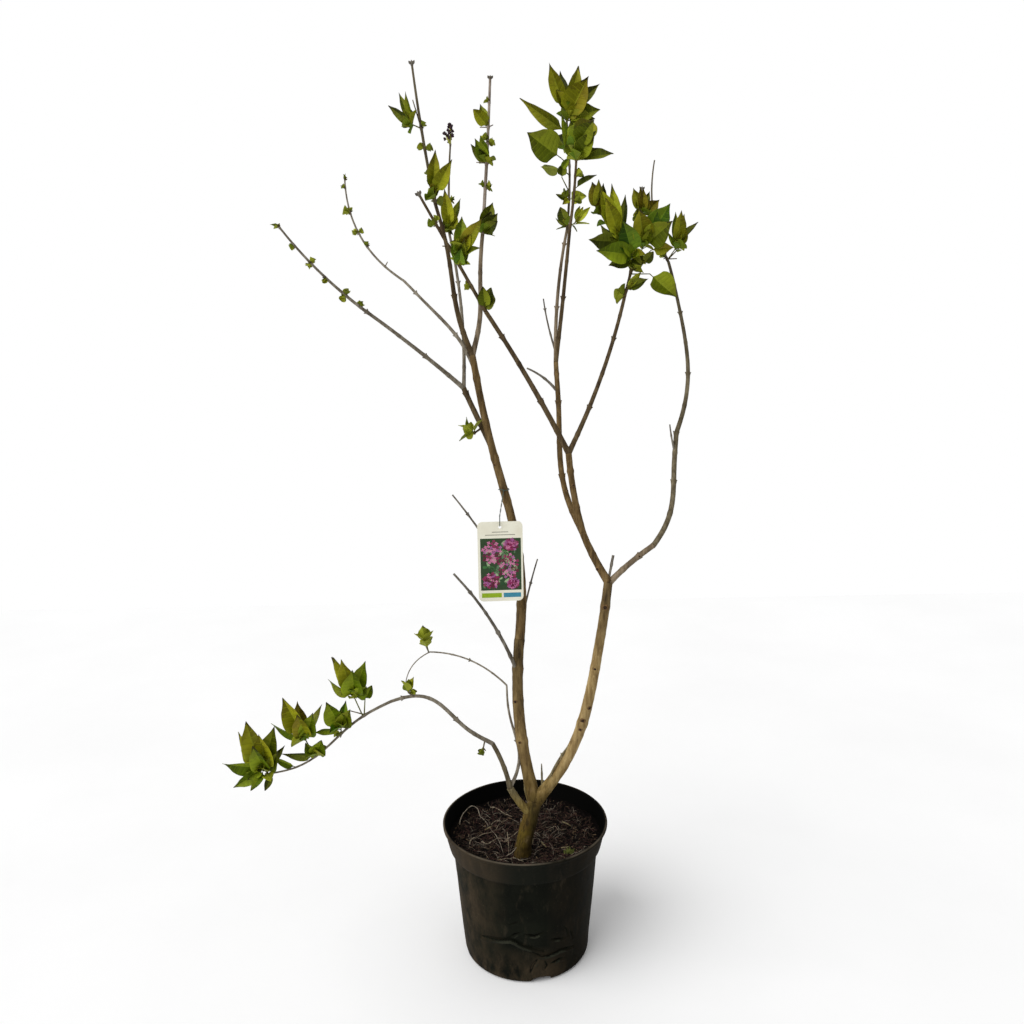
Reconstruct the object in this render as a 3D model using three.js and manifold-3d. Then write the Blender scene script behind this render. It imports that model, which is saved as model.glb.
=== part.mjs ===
// A lilac bush in spring leaf, growing in a round nursery pot, with a plant label tied to its stem.
// Millimetres, +Z up. The origin is the centre of the pot's underside; -Y is the side that is viewed first.
import * as THREE from "three";
import { mergeVertices } from "three/addons/utils/BufferGeometryUtils.js";
import Module from "manifold-3d";

const wasm = await Module();
wasm.setup();

// ---------- Driving dimensions ----------

const CLEARANCE = 0.3; // between any two solids that touch on the real plant

const POT = {
  height: 232,
  rimRadius: 140,
  collarRadius: 129, // at the foot of the collar
  collarHeight: 191,
  bodyStep: 6, // the body is set in by this much below the collar
  stepSlant: 4, // height of that step on the outside
  innerSlant: 6, // and on the inside
  baseRadius: 107,
  baseRound: 8,
  wall: 2.4,
  lip: 3.2, // depth of the rolled rim
  sides: 32,
};

const DRAIN = { count: 4, width: 36, height: 7, depth: 14, firstTurn: -75 };

const SOIL = { height: 198, flatRadius: 78, edgeRise: 8 };

const TAG = {
  width: 72,
  height: 130,
  thickness: 0.8,
  corner: 8,
  centre: [-32.5, -19, 686],
  turn: 3, // about its own vertical
  holeRadius: 2.5,
  holeDrop: 9, // from the top edge to the hole's centre
};

// The tie goes round a stem at a share of its length, drops to the label and hooks through its hole.
const TIE = {
  stem: "left_stem_upper",
  at: 0.53,
  wire: 0.7,
  loopRadius: 8.6,
  hookRadius: 8,
  sides: 4,
  segments: 12,
};

// A limb starts on its parent at a share of the parent's length and ends at its tip. Its middle is bowed off
// the straight line by "bow", and "sway" adds an S of one period. Radius is given at the base and at the tip.
const TRUNK = {
  foot: [-6, -52, SOIL.height + CLEARANCE],
  tip: [17, -45, 288],
  bow: [-2, 0, 0],
  radius: [12.8, 12.4],
  flare: 0.1,
};

const LIMBS = {
  left_stem_lower: { from: "trunk", at: 1, tip: [-4, 0, 550], bow: [-13, 0, 0], radius: [10, 8.5] },
  right_stem: {
    from: "trunk", at: 0.97, tip: [135, -60, 660], bow: [29, 0, -10], sway: [5, 0, -3], radius: [9.8, 7],
  },
  left_stem_upper: {
    from: "left_stem_lower", at: 1, tip: [-72, 40, 1012], bow: [16, 0, 2], sway: [8, 0, 1], radius: [8.3, 5.2],
  },
  left_upright: {
    from: "left_stem_upper", at: 1, tip: [-121, 0, 1239], bow: [-3, 1, -1], sway: [-4, 0, -1], radius: [4.4, 2.6],
  },
  middle_upright: {
    from: "left_stem_upper", at: 1, tip: [-53, 100, 1206], bow: [5, 0, 0], sway: [3, 0, 0], radius: [4.1, 3.1],
  },
  curved_bough: {
    from: "left_stem_upper", at: 0.94, tip: [-186, 115, 1137], bow: [9, 1, 6], sway: [3, 0, 1], radius: [3.2, 2.1],
  },
  side_bough: {
    from: "left_stem_upper", at: 0.69, tip: [-88, 55, 960], bow: [-1, 0, 0], radius: [4.8, 4.3],
  },
  long_bough: { from: "side_bough", at: 1, tip: [-232, -30, 1082], bow: [1, 1, 2], radius: [3.5, 2.5] },
  flower_bough: { from: "side_bough", at: 1, tip: [-106, 90, 1205], bow: [8, 0, 0], radius: [3, 2.2] },
  right_stem_upper: {
    from: "right_stem", at: 1, tip: [97, -45, 736], bow: [-2, 0, -1], radius: [6.2, 5.4],
  },
  front_bough: {
    from: "right_stem_upper", at: 1, tip: [76, -40, 860], bow: [-3, 0, 0], radius: [5.2, 4.9],
  },
  back_bough: {
    from: "right_stem_upper", at: 1, tip: [63, 60, 999], bow: [-15, 1, -4], sway: [-5, 0, -2], radius: [4.8, 3.8],
  },
  tall_bough_left: { from: "back_bough", at: 1, tip: [84, 85, 1209], bow: [-6, 0, 1], radius: [3.2, 2.2] },
  tall_bough_right: { from: "back_bough", at: 1, tip: [85, 35, 1202], bow: [1, 0, 1], radius: [3.4, 2.6] },
  crossing_bough: { from: "front_bough", at: 1, tip: [-46, -62, 1073], bow: [3, 0, 2], radius: [4.2, 3.2] },
  right_bough: { from: "front_bough", at: 1, tip: [178, 90, 1101], bow: [7, 2, -4], radius: [3.8, 2.8] },
  outer_bough_foot: {
    from: "right_stem", at: 0.99, tip: [206, -55, 716], bow: [-2, 0, 2], radius: [4.6, 4.3],
  },
  outer_bough_middle: {
    from: "outer_bough_foot", at: 1, tip: [259, 50, 881], bow: [13, 0, -4], sway: [4, 0, -2], radius: [4.2, 4],
  },
  outer_bough_upper: {
    from: "outer_bough_middle", at: 1, tip: [259, 140, 1163], bow: [23, 0, 0], sway: [4, 0, -1], radius: [3.8, 2.5],
  },
  low_bough_foot: { from: "trunk", at: 0.74, tip: [-24, -58, 318], bow: [-2, 0, -1], radius: [6.4, 5.4] },
  low_bough_rise: {
    from: "low_bough_foot", at: 1, tip: [-50, -72, 401], bow: [3, 0, 1], radius: [3.8, 3.5],
  },
  low_bough_arch: {
    from: "low_bough_rise", at: 1, tip: [-203, -120, 494], bow: [7, 1, 21], sway: [-4, 0, -10], radius: [3.4, 2.3],
  },
  thin_bough_foot: {
    from: "low_bough_foot", at: 1, tip: [-27, 20, 463], bow: [12, 1, -2], sway: [7, 0, -1], radius: [2.8, 1.6],
  },
  thin_bough_arch: {
    from: "thin_bough_foot", at: 1, tip: [-162, 90, 500], bow: [5, 1, 14], radius: [1.5, 1.2],
  },
  stem_runner: { from: "right_stem", at: 0.07, tip: [84, -48, 398], bow: [-6, -6, 5], radius: [1.8, 1.2] },
};

const DEAD_LIMBS = {
  dead_twig_low: {
    from: "left_stem_lower", at: 0.79, tip: [-105, -60, 677], bow: [8, 1, 5], radius: [2.7, 1.5],
  },
  dead_twig_label: {
    from: "left_stem_upper", at: 0.14, tip: [-114, 90, 779], bow: [5, 1, 2], radius: [2.3, 1.2],
  },
  dead_twig_inner: {
    from: "left_stem_upper", at: 0.03, tip: [29, 60, 671], bow: [-2, 0, 0], radius: [1.7, 1],
  },
  dead_twig_high: {
    from: "tall_bough_left", at: 0.08, tip: [45, 90, 1102], bow: [-2, 0, -1], radius: [1.5, 0.9],
  },
  dead_twig_short: { from: "back_bough", at: 0.82, tip: [16, 70, 990], bow: [3, 0, 3], radius: [1.9, 1.3] },
  spur_fork: { from: "right_stem", at: 1, tip: [144, -50, 700], bow: [0, 0, 0], radius: [1.5, 1.8] },
  spur_outer: {
    from: "outer_bough_middle", at: 0.82, tip: [246, 38, 896], bow: [-1, 0, 0], radius: [1.4, 0.9],
  },
  stub_fork: { from: "trunk", at: 0.85, tip: [1, -34, 314], bow: [-3, 2, 0], radius: [2.6, 2] },
  spike_foot: { from: "right_stem", at: 0.05, tip: [29, -20, 340], bow: [0, 0, 0], radius: [2.2, 0.8] },
};

// A spray is a stem that carries on from a limb, with shoots on it. A shoot leaves the stem at a share of its
// length, in a compass turn (0 is +X, 90 is +Y) and a rise in degrees, on a bare stalk. It bears one of these:
// whorl: [count, length, open], leaves in crosswise pairs, the lowest pair open to that angle;
// fan: one [turn, rise, length, width over length, roll] for each leaf, where roll 0 turns its upper face to -Y;
// flowers: how many flower buds it carries. A shoot with none of them is a bare spur.
const SPRAYS = {
  top_spray: {
    from: "tall_bough_left", at: 1, tip: [85, 100, 1388], bow: [5, 0, 0], radius: [2.1, 1.5],
    shoots: [
      { at: 0.03, turn: 190, rise: 50, whorl: [2, 20, 56] },
      { at: 0.03, fan: [[144, 68, 36, 0.42, 20], [202, 27, 24, 0.22, 60]] },
      { at: 0.3, turn: 185, rise: 12, whorl: [3, 19, 40] },
      { at: 0.27, fan: [[191, 16, 23, 0.3, 20], [314, 3, 34, 0.5, 0], [223, -31, 17, 0.5, 0]] },
      { at: 0.33, turn: 194, rise: 61, stalk: 26, fan: [[308, 76, 21, 0.62, 10]] },
      { at: 0.48, turn: 203, rise: 29, stalk: 18, fan: [[221, 3, 33, 0.8, 180], [310, 36, 23, 0.4, 0]] },
      { at: 0.56, turn: 203, rise: 36, stalk: 19, fan: [[198, 31, 66, 0.62, 0]] },
      {
        at: 0.68,
        fan: [
          [140, 49, 43, 0.5, 0], [45, 55, 64, 0.5, 0], [219, 77, 58, 0.17, 0], [282, 76, 50, 0.17, 0],
        ],
      },
      { at: 0.84, fan: [[190, 32, 93, 0.27, 30]] },
      { at: 0.95, fan: [[314, 52, 72, 0.46, 10], [328, 11, 58, 0.5, 15], [328, -4, 49, 0.55, 0]] },
      {
        at: 1, turn: 0, rise: 73, stalk: 5,
        fan: [
          [201, 64, 77, 0.25, 20], [200, 69, 66, 0.25, 0], [132, 77, 73, 0.22, 0],
          [22, 71, 82, 0.25, 340], [23, 36, 83, 0.24, 50],
        ],
      },
    ],
  },
  top_right_spray: {
    from: "tall_bough_right", at: 1, tip: [95, 15, 1322], bow: [2, 0, 0], radius: [2.4, 1.7],
    shoots: [
      {
        at: 0.05, turn: 331, rise: 21, stalk: 9,
        fan: [
          [41, 72, 29, 0.22, 20], [344, 60, 28, 0.24, 0], [343, 39, 35, 0.26, 0], [351, 4, 26, 0.2, 60],
          [23, -44, 14, 0.26, 60],
        ],
      },
      { at: 0.34, turn: 350, rise: 22, whorl: [2, 19, 30] },
      { at: 0.49, fan: [[346, 32, 39, 0.28, 40]] },
      { at: 0.64, turn: 350, rise: 30, whorl: [2, 19, 36] },
      {
        at: 0.82,
        fan: [
          [319, 44, 51, 0.44, 10], [352, 12, 57, 0.4, 40], [125, 55, 42, 0.4, 0], [304, 75, 46, 0.22, 0],
        ],
      },
      { at: 1, fan: [[45, 52, 59, 0.5, 0], [88, 58, 49, 0.45, 0], [308, 38, 45, 0.55, 0]] },
    ],
  },
  right_spray: {
    from: "right_bough", at: 1, tip: [212, 130, 1281], bow: [5, 0, -1], radius: [2.6, 1.2],
    shoots: [
      { at: 0.02, turn: 180, rise: 25, whorl: [3, 21, 62] },
      { at: 0.07, fan: [[344, 29, 40, 0.38, 20], [350, 50, 37, 0.26, 20]] },
      { at: 0.22, turn: 335, rise: -3, stalk: 33, fan: [[336, -42, 60, 0.62, 5]] },
      {
        at: 0.24, turn: 332, rise: 28, stalk: 24,
        fan: [[334, 44, 25, 0.55, 0], [138, 72, 19, 0.4, 0], [342, 62, 14, 0.3, 0]],
      },
      {
        at: 0.24, turn: 203, rise: 69, stalk: 58,
        fan: [
          [144, 79, 89, 0.18, 10], [202, 62, 85, 0.27, 0], [223, 60, 69, 0.3, 0], [61, 72, 81, 0.15, 20],
          [185, -2, 53, 0.5, 25], [146, 36, 57, 0.26, 60],
        ],
      },
      {
        at: 0.25, turn: 148, rise: 60, stalk: 114,
        fan: [[159, 75, 52, 0.42, 0], [243, 85, 53, 0.3, 30], [21, 84, 50, 0.26, 0]],
      },
      {
        at: 0.28, turn: 268, rise: 42, stalk: 24,
        fan: [
          [205, 2, 66, 0.5, 0], [240, 57, 63, 0.52, 0], [189, -15, 42, 0.5, 0], [311, -29, 24, 0.5, 0],
        ],
      },
      {
        at: 0.26, turn: 330, rise: 59, stalk: 45,
        fan: [
          [346, 56, 74, 0.42, 10], [319, 29, 59, 0.56, 0], [250, 55, 63, 0.5, 0], [322, 68, 62, 0.5, 0],
        ],
      },
      { at: 0.26, turn: 332, rise: 40, stalk: 44, fan: [[328, 5, 38, 0.46, 0]] },
      { at: 0.3, turn: 80, rise: 40, stalk: 20, whorl: [4, 42, 50] },
      { at: 0.26, turn: 300, rise: 30, stalk: 5, whorl: [4, 24, 66] },
      {
        at: 0.68, turn: 325, rise: 64, stalk: 16,
        fan: [
          [155, 66, 47, 0.3, 20], [214, 81, 44, 0.26, 0], [278, 76, 42, 0.3, 0], [46, 64, 50, 0.22, 20],
          [0, 45, 41, 0.44, 0],
        ],
      },
      { at: 0.74, turn: 190, rise: 25, whorl: [2, 18, 50] },
    ],
  },
  outer_spray: {
    from: "outer_bough_upper", at: 1, tip: [238, 165, 1332], bow: [-14, 0, -3], radius: [2.1, 1.1],
    shoots: [
      {
        at: 0.02, turn: 345, rise: 54, stalk: 27,
        fan: [
          [117, 83, 58, 0.2, 20], [306, 80, 59, 0.28, 0], [33, 69, 62, 0.24, 10], [0, 51, 57, 0.26, 50],
          [223, 56, 31, 0.2, 0],
        ],
      },
      { at: 0.03, turn: 5, rise: 2, stalk: 17 },
      { at: 0.02, turn: 10, rise: 44, stalk: 45 },
      { at: 0.05, turn: 150, rise: 40, whorl: [2, 17, 40] },
    ],
  },
  left_spray: {
    from: "left_upright", at: 1, tip: [-146, -30, 1428], bow: [-2, 0, 0], radius: [2.6, 1.6],
    shoots: [
      { at: 0.02, turn: 90, rise: 50, whorl: [3, 21, 65] },
      { at: 0.03, turn: 250, rise: 50, whorl: [3, 21, 62] },
      { at: 0.06, fan: [[282, 69, 63, 0.3, 0], [316, 43, 60, 0.34, 350]] },
      { at: 0.08, turn: 140, rise: 58, stalk: 22 },
      { at: 0.2, turn: 180, rise: 60, whorl: [3, 14, 50] },
      { at: 0.4, turn: 175, rise: 22, whorl: [2, 15, 34] },
      { at: 0.4, turn: 0, rise: 8, whorl: [2, 17, 30] },
      {
        at: 0.54, turn: 192, rise: 21, stalk: 16,
        fan: [
          [167, 69, 50, 0.17, 0], [217, 73, 45, 0.17, 20], [187, 36, 44, 0.26, 30], [206, 7, 20, 0.5, 0],
        ],
      },
      { at: 0.54, turn: 170, rise: 74, stalk: 42 },
      { at: 0.55, turn: 0, rise: 48, whorl: [3, 13, 35] },
    ],
  },
  middle_spray: {
    from: "middle_upright", at: 1, tip: [-36, 150, 1463], bow: [1, 0, 0], radius: [3, 2.1],
    shoots: [
      {
        at: 0.01,
        fan: [
          [32, 70, 56, 0.34, 0], [339, 46, 40, 0.5, 0], [326, 30, 33, 0.5, 0], [338, 65, 37, 0.4, 0],
          [349, -9, 21, 0.24, 60],
        ],
      },
      { at: 0.3, turn: 185, rise: 50, whorl: [2, 15, 16] },
      { at: 0.3, turn: 355, rise: 15, whorl: [3, 17, 42] },
      { at: 0.45, fan: [[205, 43, 39, 0.3, 30], [232, 54, 43, 0.36, 0], [232, 73, 44, 0.3, 0]] },
      { at: 0.455, turn: 184, rise: 2, stalk: 17 },
      { at: 0.46, turn: 350, rise: 30, whorl: [3, 15, 56] },
      { at: 0.58, turn: 350, rise: 12, whorl: [3, 16, 30] },
      { at: 0.6, turn: 210, rise: 30, whorl: [2, 18, 36] },
      { at: 0.68, fan: [[212, 43, 36, 0.5, 0], [142, 68, 44, 0.28, 0]] },
      { at: 0.68, turn: 182, rise: 0, stalk: 14 },
      { at: 0.68, turn: 0, rise: 24, stalk: 9 },
      { at: 0.84, turn: 180, rise: 32, whorl: [2, 13, 34] },
    ],
  },
  flower_spray: {
    from: "flower_bough", at: 1, tip: [-102, 110, 1350], bow: [-2, 0, 0], radius: [2.1, 1.4],
    shoots: [
      { at: 0.04, fan: [[253, 81, 66, 0.26, 0], [14, 69, 57, 0.2, 20], [212, 58, 21, 0.35, 0]] },
      { at: 0.03, turn: 250, rise: 30, whorl: [3, 18, 70] },
      { at: 0.36, turn: 170, rise: 20, whorl: [2, 15, 30] },
      { at: 0.38, turn: 5, rise: 25, whorl: [2, 16, 30] },
      { at: 1, turn: 60, rise: 88, stalk: 30, flowers: 14 },
      { at: 0.99, turn: 176, rise: 66, stalk: 20, flowers: 6 },
    ],
  },
  crossing_spray: {
    from: "crossing_bough", at: 1, tip: [-138, -80, 1238], bow: [0, 0, 0], radius: [2.9, 1.9],
    shoots: [
      {
        at: 0.02,
        fan: [
          [271, 66, 34, 0.46, 0], [43, 55, 30, 0.5, 0], [335, 73, 33, 0.44, 0], [331, 41, 22, 0.5, 0],
        ],
      },
      { at: 0.02, turn: 0, rise: 28, stalk: 13 },
      { at: 0.22, turn: 175, rise: 10, whorl: [3, 15, 35] },
      {
        at: 0.4,
        fan: [
          [248, 57, 36, 0.3, 0], [271, 55, 42, 0.3, 0], [285, 47, 43, 0.3, 0], [308, 42, 34, 0.34, 0],
          [278, 26, 38, 0.36, 0],
        ],
      },
      {
        at: 0.4, turn: 292, rise: 64, stalk: 20,
        fan: [
          [329, 50, 55, 0.34, 10], [337, 61, 42, 0.3, 0], [69, 79, 56, 0.28, 0], [106, 66, 52, 0.22, 0],
          [322, 16, 37, 0.28, 40],
        ],
      },
      { at: 0.56, turn: 180, rise: 4, stalk: 9 },
      { at: 0.74, turn: 190, rise: 34, whorl: [3, 18, 44] },
      { at: 0.76, turn: 60, rise: 60, whorl: [2, 14, 20] },
    ],
  },
  curved_spray: {
    from: "curved_bough", at: 1, tip: [-290, 190, 1316], bow: [-23, 0, -12], radius: [2, 1.3],
    shoots: [
      { at: 0.18, turn: 10, rise: 60, stalk: 9 },
      { at: 0.4, turn: 170, rise: 80, whorl: [3, 12, 36] },
      { at: 0.54, turn: 182, rise: 2, whorl: [2, 14, 16] },
      { at: 0.54, turn: 0, rise: 28, whorl: [2, 13, 34] },
      { at: 0.72, turn: 180, rise: 26, whorl: [2, 19, 34] },
      { at: 0.73, turn: 80, rise: 60, whorl: [2, 12, 34] },
      { at: 0.93, turn: 200, rise: 30, whorl: [3, 11, 40] },
      { at: 0.99, turn: 90, rise: 80, whorl: [2, 13, 14] },
    ],
  },
  long_spray: {
    from: "long_bough", at: 1, tip: [-331, -110, 1191], bow: [-5, 1, -3], radius: [2.4, 1.4],
    shoots: [
      { at: 0.03, turn: 20, rise: 82, whorl: [2, 13, 24] },
      { at: 0.2, turn: 20, rise: 68, whorl: [3, 15, 46] },
      { at: 0.2, turn: 220, rise: -50, whorl: [2, 14, 40] },
      { at: 0.43, turn: 260, rise: -60, whorl: [3, 11, 40] },
      { at: 0.6, turn: 10, rise: 66, whorl: [2, 13, 30] },
      { at: 0.6, turn: 200, rise: -40, whorl: [3, 12, 46] },
      { at: 0.8, turn: 190, rise: -10, whorl: [3, 11, 42] },
      { at: 0.99, turn: 165, rise: 30, whorl: [2, 14, 14] },
    ],
  },
  side_sprout: {
    from: "side_bough", at: 0.3, tip: [-72, 22, 888], bow: [0, 0, 0], radius: [1.9, 1.5],
    shoots: [
      { at: 1, turn: 182, rise: 50, stalk: 3, whorl: [6, 27, 74] },
      { at: 0.8, turn: 182, rise: -4, whorl: [2, 20, 14] },
    ],
  },
  low_spray: {
    from: "low_bough_arch", at: 1, tip: [-379, -190, 415], bow: [3, 1, -10], sway: [-3, 0, 8], radius: [2.3, 1.2],
    shoots: [
      { at: 0.21, turn: 315, rise: 81, stalk: 28, fan: [[350, 60, 24, 0.5, 0]] },
      {
        at: 0.22, turn: 196, rise: 70, stalk: 41,
        fan: [
          [162, 59, 62, 0.22, 10], [190, 68, 63, 0.2, 0], [237, 72, 62, 0.36, 0], [345, 67, 58, 0.36, 0],
          [158, 20, 51, 0.3, 30], [279, 63, 54, 0.5, 0], [314, 41, 37, 0.5, 0],
        ],
      },
      { at: 0.2, turn: 170, rise: 12, stalk: 24 },
      {
        at: 0.41, turn: 286, rise: 80, stalk: 12,
        fan: [
          [211, 65, 46, 0.54, 0], [53, 72, 40, 0.3, 0], [318, 54, 41, 0.5, 0], [186, -5, 40, 0.28, 20],
          [288, 68, 39, 0.4, 0],
        ],
      },
      { at: 0.41, turn: 195, rise: -8, whorl: [3, 16, 40] },
      { at: 0.63, fan: [[305, 60, 34, 0.6, 0], [227, 56, 30, 0.5, 0], [189, 5, 51, 0.26, 20]] },
      {
        at: 0.64, turn: 196, rise: 66, stalk: 36,
        fan: [
          [213, 68, 70, 0.36, 0], [165, 82, 56, 0.36, 0], [35, 60, 55, 0.17, 0], [170, 17, 58, 0.3, 40],
          [309, 61, 54, 0.4, 0], [262, 62, 56, 0.4, 0],
        ],
      },
      { at: 0.79, fan: [[176, 20, 33, 0.34, 10]] },
      { at: 0.95, fan: [[226, -58, 27, 0.32, 0]] },
      {
        at: 0.98, turn: 211, rise: 58, stalk: 15,
        fan: [
          [213, 73, 75, 0.36, 0], [155, 43, 64, 0.22, 20], [195, 13, 57, 0.36, 20],
          [205, -26, 48, 0.32, 0], [247, -30, 35, 0.3, 0], [340, 76, 69, 0.36, 0], [32, 47, 44, 0.22, 0],
          [276, 69, 69, 0.4, 0], [259, 56, 62, 0.36, 0], [318, 52, 49, 0.34, 0],
        ],
      },
      { at: 0.98, turn: 260, rise: 60, stalk: 4, whorl: [3, 26, 70] },
    ],
  },
  arch_sprout: {
    from: "low_bough_arch", at: 0.82, tip: [-176, -113, 506], bow: [0, 0, 0], radius: [1.5, 1.2],
    shoots: [
      { at: 0.9, turn: 120, rise: 86, whorl: [3, 25, 24] },
      { at: 0.6, turn: 0, rise: 40, whorl: [2, 13, 30] },
    ],
  },
  knee_sprout: {
    from: "low_bough_arch", at: 0.08, tip: [-65, -76, 396], bow: [0, 0, 0], radius: [1.4, 1.1],
    shoots: [{ at: 1, turn: 200, rise: -60, whorl: [2, 16, 26] }],
  },
  thin_spray: {
    from: "thin_bough_arch", at: 1, tip: [-212, 120, 421], bow: [-10, 0, 7], radius: [1.1, 0.8],
    shoots: [
      { at: 0.02, turn: 170, rise: 66, stalk: 16 },
      { at: 0.02, turn: 150, rise: 74, stalk: 20, whorl: [6, 32, 56] },
    ],
  },
};

const LIMB = {
  sides: 6,
  thinSides: 5,
  thin: 3, // limbs up to this radius at the base have the fewer sides
  step: 30, // length of one straight piece
  trunkSides: 10,
  trunkSteps: 5,
  swell: 0.25, // extra thickness where a limb leaves its parent
  swellLength: 16,
};
const SHOOT = { radius: 1.1, tipRadius: 0.8 };
const WHORL = { broad: 0.62, innerOpen: 0.2, lowest: 0.45, shortest: 0.85, angleJitter: 8, spinJitter: 24 };
const FAN = { spacing: 1.5 };
const LEAF = { fold: 0.4, curl: 0.08, shoulder: 0.42, sunk: 0.4, thickness: 1.2 };
const FLOWER = { budRadius: 2.6, reach: 5, turn: 137.5, lowestShare: 0.3 };

const COLOURS = {
  pot: { color: 0x2b2f2c, roughness: 0.6, metalness: 0 },
  soil: { color: 0x2a1d16, roughness: 1, metalness: 0 },
  bark: { color: 0x7d6a4a, roughness: 0.9, metalness: 0 },
  deadwood: { color: 0x57504a, roughness: 0.9, metalness: 0 },
  foliage: { color: 0x5f6e14, roughness: 0.6, metalness: 0 },
  label: { color: 0xe9ead9, roughness: 0.5, metalness: 0 },
  wire: { color: 0x4c5245, roughness: 0.5, metalness: 0 },
};

// ---------- Solids ----------

const DEGREE = Math.PI / 180;
const vector = ([x, y, z]) => new THREE.Vector3(x, y, z);
const mix = (a, b, share) => a + (b - a) * share;

function solidOf(geometry) {
  const bare = geometry.clone();
  bare.deleteAttribute("normal");
  bare.deleteAttribute("uv");
  const merged = mergeVertices(bare, 1e-4);
  return new wasm.Manifold(
    new wasm.Mesh({
      numProp: 3,
      vertProperties: new Float32Array(merged.attributes.position.array),
      triVerts: new Uint32Array(merged.index.array),
    }),
  );
}

function geometryOf(solid) {
  const { vertProperties, triVerts } = solid.getMesh();
  const geometry = new THREE.BufferGeometry();
  geometry.setAttribute("position", new THREE.BufferAttribute(vertProperties, 3));
  geometry.setIndex(new THREE.BufferAttribute(triVerts, 1));
  return geometry;
}

const union = (solids) => solids.reduce((whole, solid) => whole.add(solid));

function largestPiece(solid) {
  const pieces = solid.decompose();
  return pieces.reduce((best, piece) => (piece.volume() > best.volume() ? piece : best));
}

function boxesMeet(a, b) {
  const boxA = a.boundingBox();
  const boxB = b.boundingBox();
  return [0, 1, 2].every((i) => boxA.min[i] <= boxB.max[i] && boxB.min[i] <= boxA.max[i]);
}

const touches = (solid, other) => boxesMeet(solid, other) && solid.intersect(other).volume() > 0;

// ---------- Limbs ----------

class LimbPath extends THREE.Curve {
  constructor(start, tip, bow, sway = [0, 0, 0]) {
    super();
    this.start = start;
    this.tip = vector(tip);
    this.bow = vector(bow);
    this.sway = vector(sway);
  }

  getPoint(share) {
    return this.start
      .clone()
      .lerp(this.tip, share)
      .addScaledVector(this.bow, 4 * share * (1 - share))
      .addScaledVector(this.sway, Math.sin(2 * Math.PI * share));
  }
}

// Two directions square to the tangent. They don't twist along a limb that bends by less than a right angle.
function crossAxes(tangent, reference) {
  const side = reference.clone().addScaledVector(tangent, -reference.dot(tangent)).normalize();
  return [side, new THREE.Vector3().crossVectors(side, tangent)];
}

// A cylinder of unit size laid along the path, with the radius given by share, and "grow" added all round.
function sweep(path, radiusAt, sides, steps, grow = 0) {
  const tube = new THREE.CylinderGeometry(1, 1, 1, sides, steps);
  const position = tube.attributes.position;
  const chord = path.getPoint(1).sub(path.getPoint(0)).normalize();
  const reference = Math.abs(chord.y) < 0.7 ? new THREE.Vector3(0, 1, 0) : new THREE.Vector3(1, 0, 0);
  for (let i = 0; i < position.count; i++) {
    const share = position.getY(i) + 0.5;
    const tangent = path.getTangent(share);
    const [side, other] = crossAxes(tangent, reference);
    const radius = radiusAt(share) + grow;
    const end = Number.isInteger(share) ? grow * Math.sign(share - 0.5) : 0;
    const point = path
      .getPoint(share)
      .addScaledVector(side, position.getX(i) * radius)
      .addScaledVector(other, position.getZ(i) * radius)
      .addScaledVector(tangent, end);
    position.setXYZ(i, point.x, point.y, point.z);
  }
  return solidOf(tube);
}

// A limb's radius tapers evenly from base to tip and swells into its parent over the first stretch.
function limbRadius(path, [base, tip]) {
  const length = path.getLength();
  return (share) => mix(base, tip, share) * (1 + LIMB.swell * Math.exp((-share * length) / LIMB.swellLength));
}

// Everything made so far: its path for what grows from it, and its solid grown by the clearance for cutting.
const paths = {};
const standing = [];

const plant = new THREE.Group();
plant.name = "potted_lilac";

function addNode(name, solid, look) {
  const mesh = new THREE.Mesh(geometryOf(solid), new THREE.MeshStandardMaterial(COLOURS[look]));
  mesh.name = name;
  plant.add(mesh);
}

const cutClear = (solid) =>
  standing.filter((other) => boxesMeet(solid, other)).reduce((rest, other) => rest.subtract(other), solid);

function makeTrunk() {
  const path = new LimbPath(vector(TRUNK.foot), TRUNK.tip, TRUNK.bow);
  const radius = (share) => mix(...TRUNK.radius, share) * (1 + TRUNK.flare * (1 - share) ** 3);
  const level = new THREE.BoxGeometry(POT.rimRadius, POT.rimRadius, SOIL.height);
  level.translate(TRUNK.foot[0], TRUNK.foot[1], TRUNK.foot[2] - SOIL.height / 2);
  const swept = (grow) => sweep(path, radius, LIMB.trunkSides, LIMB.trunkSteps, grow);
  paths.trunk = path;
  standing.push(swept(CLEARANCE));
  addNode("trunk", swept(0).subtract(solidOf(level)), "bark");
}

function makeLimb(name, { from, at, tip, bow, sway, radius }, look) {
  const path = new LimbPath(paths[from].getPoint(at), tip, bow, sway);
  const steps = Math.max(2, Math.round(path.getLength() / LIMB.step));
  const sides = radius[0] > LIMB.thin ? LIMB.sides : LIMB.thinSides;
  const swept = (grow) => sweep(path, limbRadius(path, radius), sides, steps, grow);
  paths[name] = path;
  addNode(name, largestPiece(cutClear(swept(0))), look);
  standing.push(swept(CLEARANCE));
}

// ---------- Leaves and shoots ----------

// A small repeatable random source: each call gives the next number from 0 to 1.
function randomFrom(seed) {
  let state = seed;
  return () => {
    state = (state * 1664525 + 1013904223) % 4294967296;
    return state / 4294967296;
  };
}

const direction = (turn, rise) =>
  vector([
    Math.cos(turn * DEGREE) * Math.cos(rise * DEGREE),
    Math.sin(turn * DEGREE) * Math.cos(rise * DEGREE),
    Math.sin(rise * DEGREE),
  ]);

// Two directions square to a shoot's axis: the first points away from the viewer's side, the second across.
function shootAxes(axis) {
  const away = Math.abs(axis.y) < 0.9 ? new THREE.Vector3(0, 1, 0) : new THREE.Vector3(0, 0, 1);
  const back = away.addScaledVector(axis, -away.dot(axis)).normalize();
  return [back, new THREE.Vector3().crossVectors(back, axis)];
}

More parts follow.
